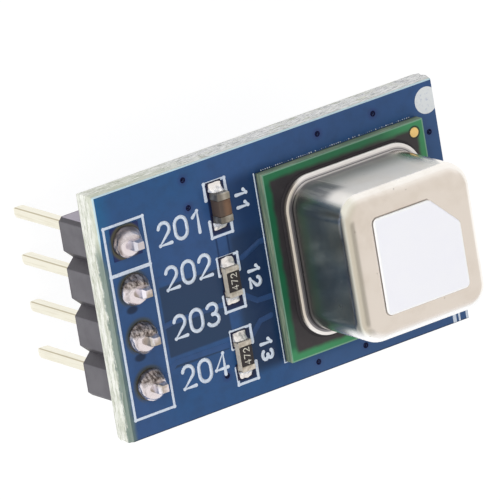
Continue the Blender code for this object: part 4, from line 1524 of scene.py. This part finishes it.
class SENSOR_OT_header(bpy.types.Operator):
    """Finish the header strip and its four pins"""

    bl_idname = "sensor_module.header"
    bl_label = "Pin header"
    bl_options = {"REGISTER", "UNDO"}

    def execute(self, context):
        require("header_insulator", "header_pin_1", "header_pin_2", "header_pin_3", "header_pin_4")
        settings = context.scene.module_header
        softened("header_insulator", plastic_finish(settings), settings.plastic_edge)
        plating = pin_finish(settings)
        for number in range(1, len(pin_rows) + 1):
            softened(f"header_pin_{number}", plating, settings.pin_edge)
        return {"FINISHED"}


class SENSOR_OT_joints(bpy.types.Operator):
    """Run solder up the header's pins"""

    bl_idname = "sensor_module.joints"
    bl_label = "Header solder"
    bl_options = {"REGISTER", "UNDO"}

    def execute(self, context):
        require("header_solder_1", "header_solder_2", "header_solder_3", "header_solder_4")
        settings = context.scene.module_header
        finish = joint_finish(settings)
        for number, y in enumerate(pin_rows, start=1):
            solder_joint(number, y, settings, finish)
        return {"FINISHED"}


class SENSOR_OT_chips(bpy.types.Operator):
    """Finish the capacitor, the two resistors and their solder"""

    bl_idname = "sensor_module.chips"
    bl_label = "Chip parts"
    bl_options = {"REGISTER", "UNDO"}

    def execute(self, context):
        require("capacitor_body", "resistor_1_ceramic", "resistor_2_ceramic")
        settings = context.scene.module_chips
        metal = end_metal_finish(settings)
        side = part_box("capacitor_body")[0].x
        brown = ceramic_finish("brown_ceramic", settings.capacitor_colour, paint(88, 64, 50), side=side)
        white = ceramic_finish("white_ceramic", settings.ceramic_colour, paint(176, 166, 150))
        coat = ceramic_finish("dark_coating", settings.coating_colour, paint(24, 22, 24), 0.35)
        softened("capacitor_body", brown, 0.08 * mm)
        for end in (1, 2):
            softened(f"capacitor_end_{end}", metal, 0.12 * mm)
        for chip in ("resistor_1", "resistor_2"):
            softened(f"{chip}_ceramic", white, 0.02 * mm)
            softened(f"{chip}_coating", coat, 0.012 * mm)
            for end in (1, 2):
                softened(f"{chip}_end_{end}", metal, 0.014 * mm)
        solder = solder_finish("chip_solder", paint(252, 250, 248), 0.03 * mm)
        for seed, chip in enumerate(("capacitor", "resistor_1", "resistor_2")):
            for end in (1, 2):
                chip_solder(f"{chip}_solder_{end}", settings, solder, seed * 2 + end)
        self.mark(settings)
        return {"FINISHED"}

    def mark(self, settings):
        """A plain number on each resistor, read up the board."""
        ink = print_finish("pale_marking", settings.marking_colour)
        height, line = settings.marking_height, settings.marking_line
        for chip in ("resistor_1", "resistor_2"):
            low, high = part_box(f"{chip}_coating")
            middle = (low + high) / 2
            width, step = height * 0.6, height * 0.95
            corner = (middle.x + height / 2, middle.y - step - width / 2)
            strokes = number_strokes("472", corner, (0.0, 1.0), (-1.0, 0.0), width, height, step)
            draw_lines(f"{chip}_marking", strokes, high.z, line, 0.006 * mm, ink)


class SENSOR_OT_sensor_base(bpy.types.Operator):
    """Finish the sensor's own board, its gold dot and the solder under its edge"""

    bl_idname = "sensor_module.sensor_base"
    bl_label = "Sensor board"
    bl_options = {"REGISTER", "UNDO"}

    def execute(self, context):
        require("sensor_base", "index_dot")
        settings = context.scene.module_sensor
        dress("sensor_base", sensor_base_finish(settings))
        dress("index_dot", plain_finish("gold_dot", paint(255, 218, 140), 0.4, 0.4))
        y = base_high.y + settings.solder_ball * 1.45
        edge = [[(base_low.x + 0.4 * mm, y), (base_high.x - 0.4 * mm, y)]]
        source = stroke_mesh("balls", edge, board_top + settings.solder_ball * 0.8)
        values = {"Radius": settings.solder_ball, "Pitch": 0.13 * mm}
        solder = solder_finish("ball_solder", paint(232, 240, 250), 0.01 * mm)
        declare(grow("sensor_edge_solder", source, ball_tree(), values, solder))
        return {"FINISHED"}


class SENSOR_OT_can(bpy.types.Operator):
    """Draw the sensor's can and lay its adhesive"""

    bl_idname = "sensor_module.can"
    bl_label = "Sensor can"
    bl_options = {"REGISTER", "UNDO"}

    def execute(self, context):
        require("sensor_can", "can_adhesive")
        settings = context.scene.module_sensor
        drawn_can(can_finish(settings))
        adhesive_bead(plain_finish("dark_adhesive", paint(50, 47, 50), 0.6, shine=0.2))
        return {"FINISHED"}


class SENSOR_OT_membrane(bpy.types.Operator):
    """Finish the filter membrane on the can"""

    bl_idname = "sensor_module.membrane"
    bl_label = "Filter membrane"
    bl_options = {"REGISTER", "UNDO"}

    def execute(self, context):
        require("filter_membrane")
        finish = membrane_finish(context.scene.module_sensor)
        softened("filter_membrane", finish, 0.03 * mm)
        return {"FINISHED"}


class SENSOR_OT_inside(bpy.types.Operator):
    """Finish the pieces under the can"""

    bl_idname = "sensor_module.inside"
    bl_label = "Pieces under the can"
    bl_options = {"REGISTER", "UNDO"}

    def execute(self, context):
        require("infrared_emitter", "optical_filter", "microphone", "humidity_sensor", "controller_chip")
        package = plain_finish("black_package", paint(44, 44, 46), 0.5)
        for node in ("infrared_emitter", "humidity_sensor", "controller_chip"):
            dress(node, package)
        dress("optical_filter", plain_finish("coated_window", paint(140, 120, 160), 0.12, 0.6))
        dress("microphone", plain_finish("metal_lid", paint(216, 206, 178), 0.3, 1.0))
        return {"FINISHED"}


class SENSOR_OT_stage(bpy.types.Operator):
    """Set the floor, the lamps, the sky and the camera"""

    bl_idname = "sensor_module.stage"
    bl_label = "Stage"
    bl_options = {"REGISTER", "UNDO"}

    def execute(self, context):
        require("header_pin_1")
        scene = context.scene
        settings = scene.module_stage
        scene.view_settings.view_transform = "Standard"
        self.floor(settings)
        self.sky(scene, settings)
        middle = (board_low + board_high) / 2
        lamps = (
            ("key_lamp", Vector((-0.75, 0.35, 0.55)), settings.key_power),
            ("fill_lamp", Vector((-0.2, -0.6, 0.75)), settings.fill_power),
        )
        for name, direction, power in lamps:
            self.lamp(scene, name, middle, direction, power)
        self.camera(scene, settings)
        return {"FINISHED"}

    def floor(self, settings):
        """A pale floor under the pin tips. What the camera sees of it is close to white."""
        recipe, place = new_finish("pale_floor")
        cloud = recipe.grain(place, 0.02, 2.0)
        tone = recipe.blend(cloud * 0.2, settings.floor_colour, paint(244, 244, 246))
        matt = recipe.add("ShaderNodeBsdfPrincipled", sockets={"Base Color": tone, "Roughness": 0.9})
        glow = recipe.add("ShaderNodeEmission", sockets={"Color": (1.0, 1.0, 1.0), "Strength": 1.12})
        ray = recipe.add("ShaderNodeLightPath")
        mirrored = ray.output("Is Glossy Ray").most(ray.output("Is Transmission Ray"))
        seen = (ray.output("Is Camera Ray") * 0.78).most(mirrored * 0.95)
        mixed = recipe.add("ShaderNodeMixShader", sockets={0: seen, 1: matt, 2: glow})
        recipe.add("ShaderNodeOutputMaterial", sockets={"Surface": mixed})
        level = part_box("header_pin_1")[0].z
        reach = 0.6
        form = bmesh.new()
        corners = ((-reach, -reach), (reach, -reach), (reach, reach), (-reach, reach))
        form.faces.new([form.verts.new((*corner, level)) for corner in corners])
        link_mesh("floor", form, recipe.finish)

    def sky(self, scene, settings):
        """Even light from all round. The camera sees it white, metal mirrors a warm ceiling with gaps."""
        world = bpy.data.worlds.new("studio_sky")
        world.use_nodes = True
        scene.world = world
        recipe = Recipe(world.node_tree)
        ray = recipe.add("ShaderNodeLightPath")
        mirrored = ray.output("Is Glossy Ray")
        seen = ray.output("Is Camera Ray").most(mirrored).most(ray.output("Is Transmission Ray"))
        sockets = {"Color": (1.0, 1.0, 1.0), "Strength": settings.sky_strength}
        soft = recipe.add("ShaderNodeBackground", sockets=sockets)
        heading = recipe.add("ShaderNodeTexCoord").output("Generated")
        dark, side, small = (
            self.towards(recipe, heading, way).rise(rim, core) * depth for way, rim, core, depth in sky_gaps
        )
        gap = dark.most(side).most(small)
        ceiling = recipe.blend(gap, (0.83, 0.77, 0.72), (0.46, 0.43, 0.39))
        low_sky = self.towards(recipe, heading, (0.0, 0.0, 1.0)).rise(0.6, 0.05)
        low_sky = low_sky * self.towards(recipe, heading, (0.0, 1.0, 0.0)).rise(0.1, 0.5)
        ceiling = recipe.blend(low_sky, ceiling, (1.0, 0.97, 0.95))
        tone = recipe.blend(mirrored, (1.0, 1.0, 1.0), ceiling)
        white = recipe.add("ShaderNodeBackground", sockets={"Color": tone, "Strength": 1.0})
        mixed = recipe.add("ShaderNodeMixShader", sockets={0: seen, 1: soft, 2: white})
        recipe.add("ShaderNodeOutputWorld", sockets={"Surface": mixed})

    def towards(self, recipe, heading, direction):
        """How nearly a ray runs in a direction: 1 along it, 0 across it."""
        settings = {"operation": "DOT_PRODUCT"}
        return recipe.add("ShaderNodeVectorMath", settings, {0: heading, 1: direction}).output("Value")

    def lamp(self, scene, name, middle, direction, power):
        """A square lamp that shines on the module and isn't seen in its metal."""
        size, distance = 0.3, 0.25
        light = bpy.data.lights.new(name, "AREA")
        light.energy = power
        light.size = size
        made = bpy.data.objects.new(name, light)
        made.location = middle + direction.normalized() * distance
        made.rotation_euler = (-direction).to_track_quat("-Z", "Y").to_euler()
        made.visible_glossy = False
        scene.collection.objects.link(made)

    def camera(self, scene, settings):
        """The photograph's view: from above the header, with +Y nearly upright in the picture."""
        lens = bpy.data.cameras.new("camera")
        lens.sensor_width = 36.0
        lens.lens = settings.lens
        lens.clip_start = 0.01
        made = bpy.data.objects.new("camera", lens)
        made.location = Vector((-239.55, 144.97, 399.74)) * mm
        ahead = Vector((0.5056, -0.2948, -0.8109)).normalized()
        upright = Vector((0.2943, 0.9424, -0.1591))
        right = ahead.cross(upright).normalized()
        up = right.cross(ahead)
        made.rotation_euler = Matrix((right, up, -ahead)).transposed().to_euler()
        scene.collection.objects.link(made)
        scene.camera = made


property_groups = {
    "module_board": BoardSettings,
    "module_header": HeaderSettings,
    "module_chips": ChipSettings,
    "module_sensor": SensorSettings,
    "module_stage": StageSettings,
}

operators = (
    SENSOR_OT_board,
    SENSOR_OT_tracks,
    SENSOR_OT_print,
    SENSOR_OT_header,
    SENSOR_OT_joints,
    SENSOR_OT_chips,
    SENSOR_OT_sensor_base,
    SENSOR_OT_can,
    SENSOR_OT_membrane,
    SENSOR_OT_inside,
    SENSOR_OT_stage,
)


class SENSOR_PT_module(bpy.types.Panel):
    """Lists the sizes, the colours and the steps that use them"""

    bl_label = "Sensor Module"
    bl_idname = "SENSOR_PT_module"
    bl_space_type = "VIEW_3D"
    bl_region_type = "UI"
    bl_category = "Sensor Module"

    def draw(self, context):
        for operator in operators:
            self.layout.operator(operator.bl_idname)
        for attribute, group in property_groups.items():
            box = self.layout.box()
            for name in group.__annotations__:
                box.prop(getattr(context.scene, attribute), name)


def register():
    for group in (*property_groups.values(), *operators, SENSOR_PT_module):
        bpy.utils.register_class(group)
    for attribute, group in property_groups.items():
        setattr(bpy.types.Scene, attribute, PointerProperty(type=group))


def unregister():
    for attribute in property_groups:
        delattr(bpy.types.Scene, attribute)
    for group in (SENSOR_PT_module, *reversed(operators), *property_groups.values()):
        bpy.utils.unregister_class(group)


def main():
    register()
    for operator in operators:
        group, name = operator.bl_idname.split(".")
        getattr(getattr(bpy.ops, group), name)()


if __name__ == "__main__":
    main()
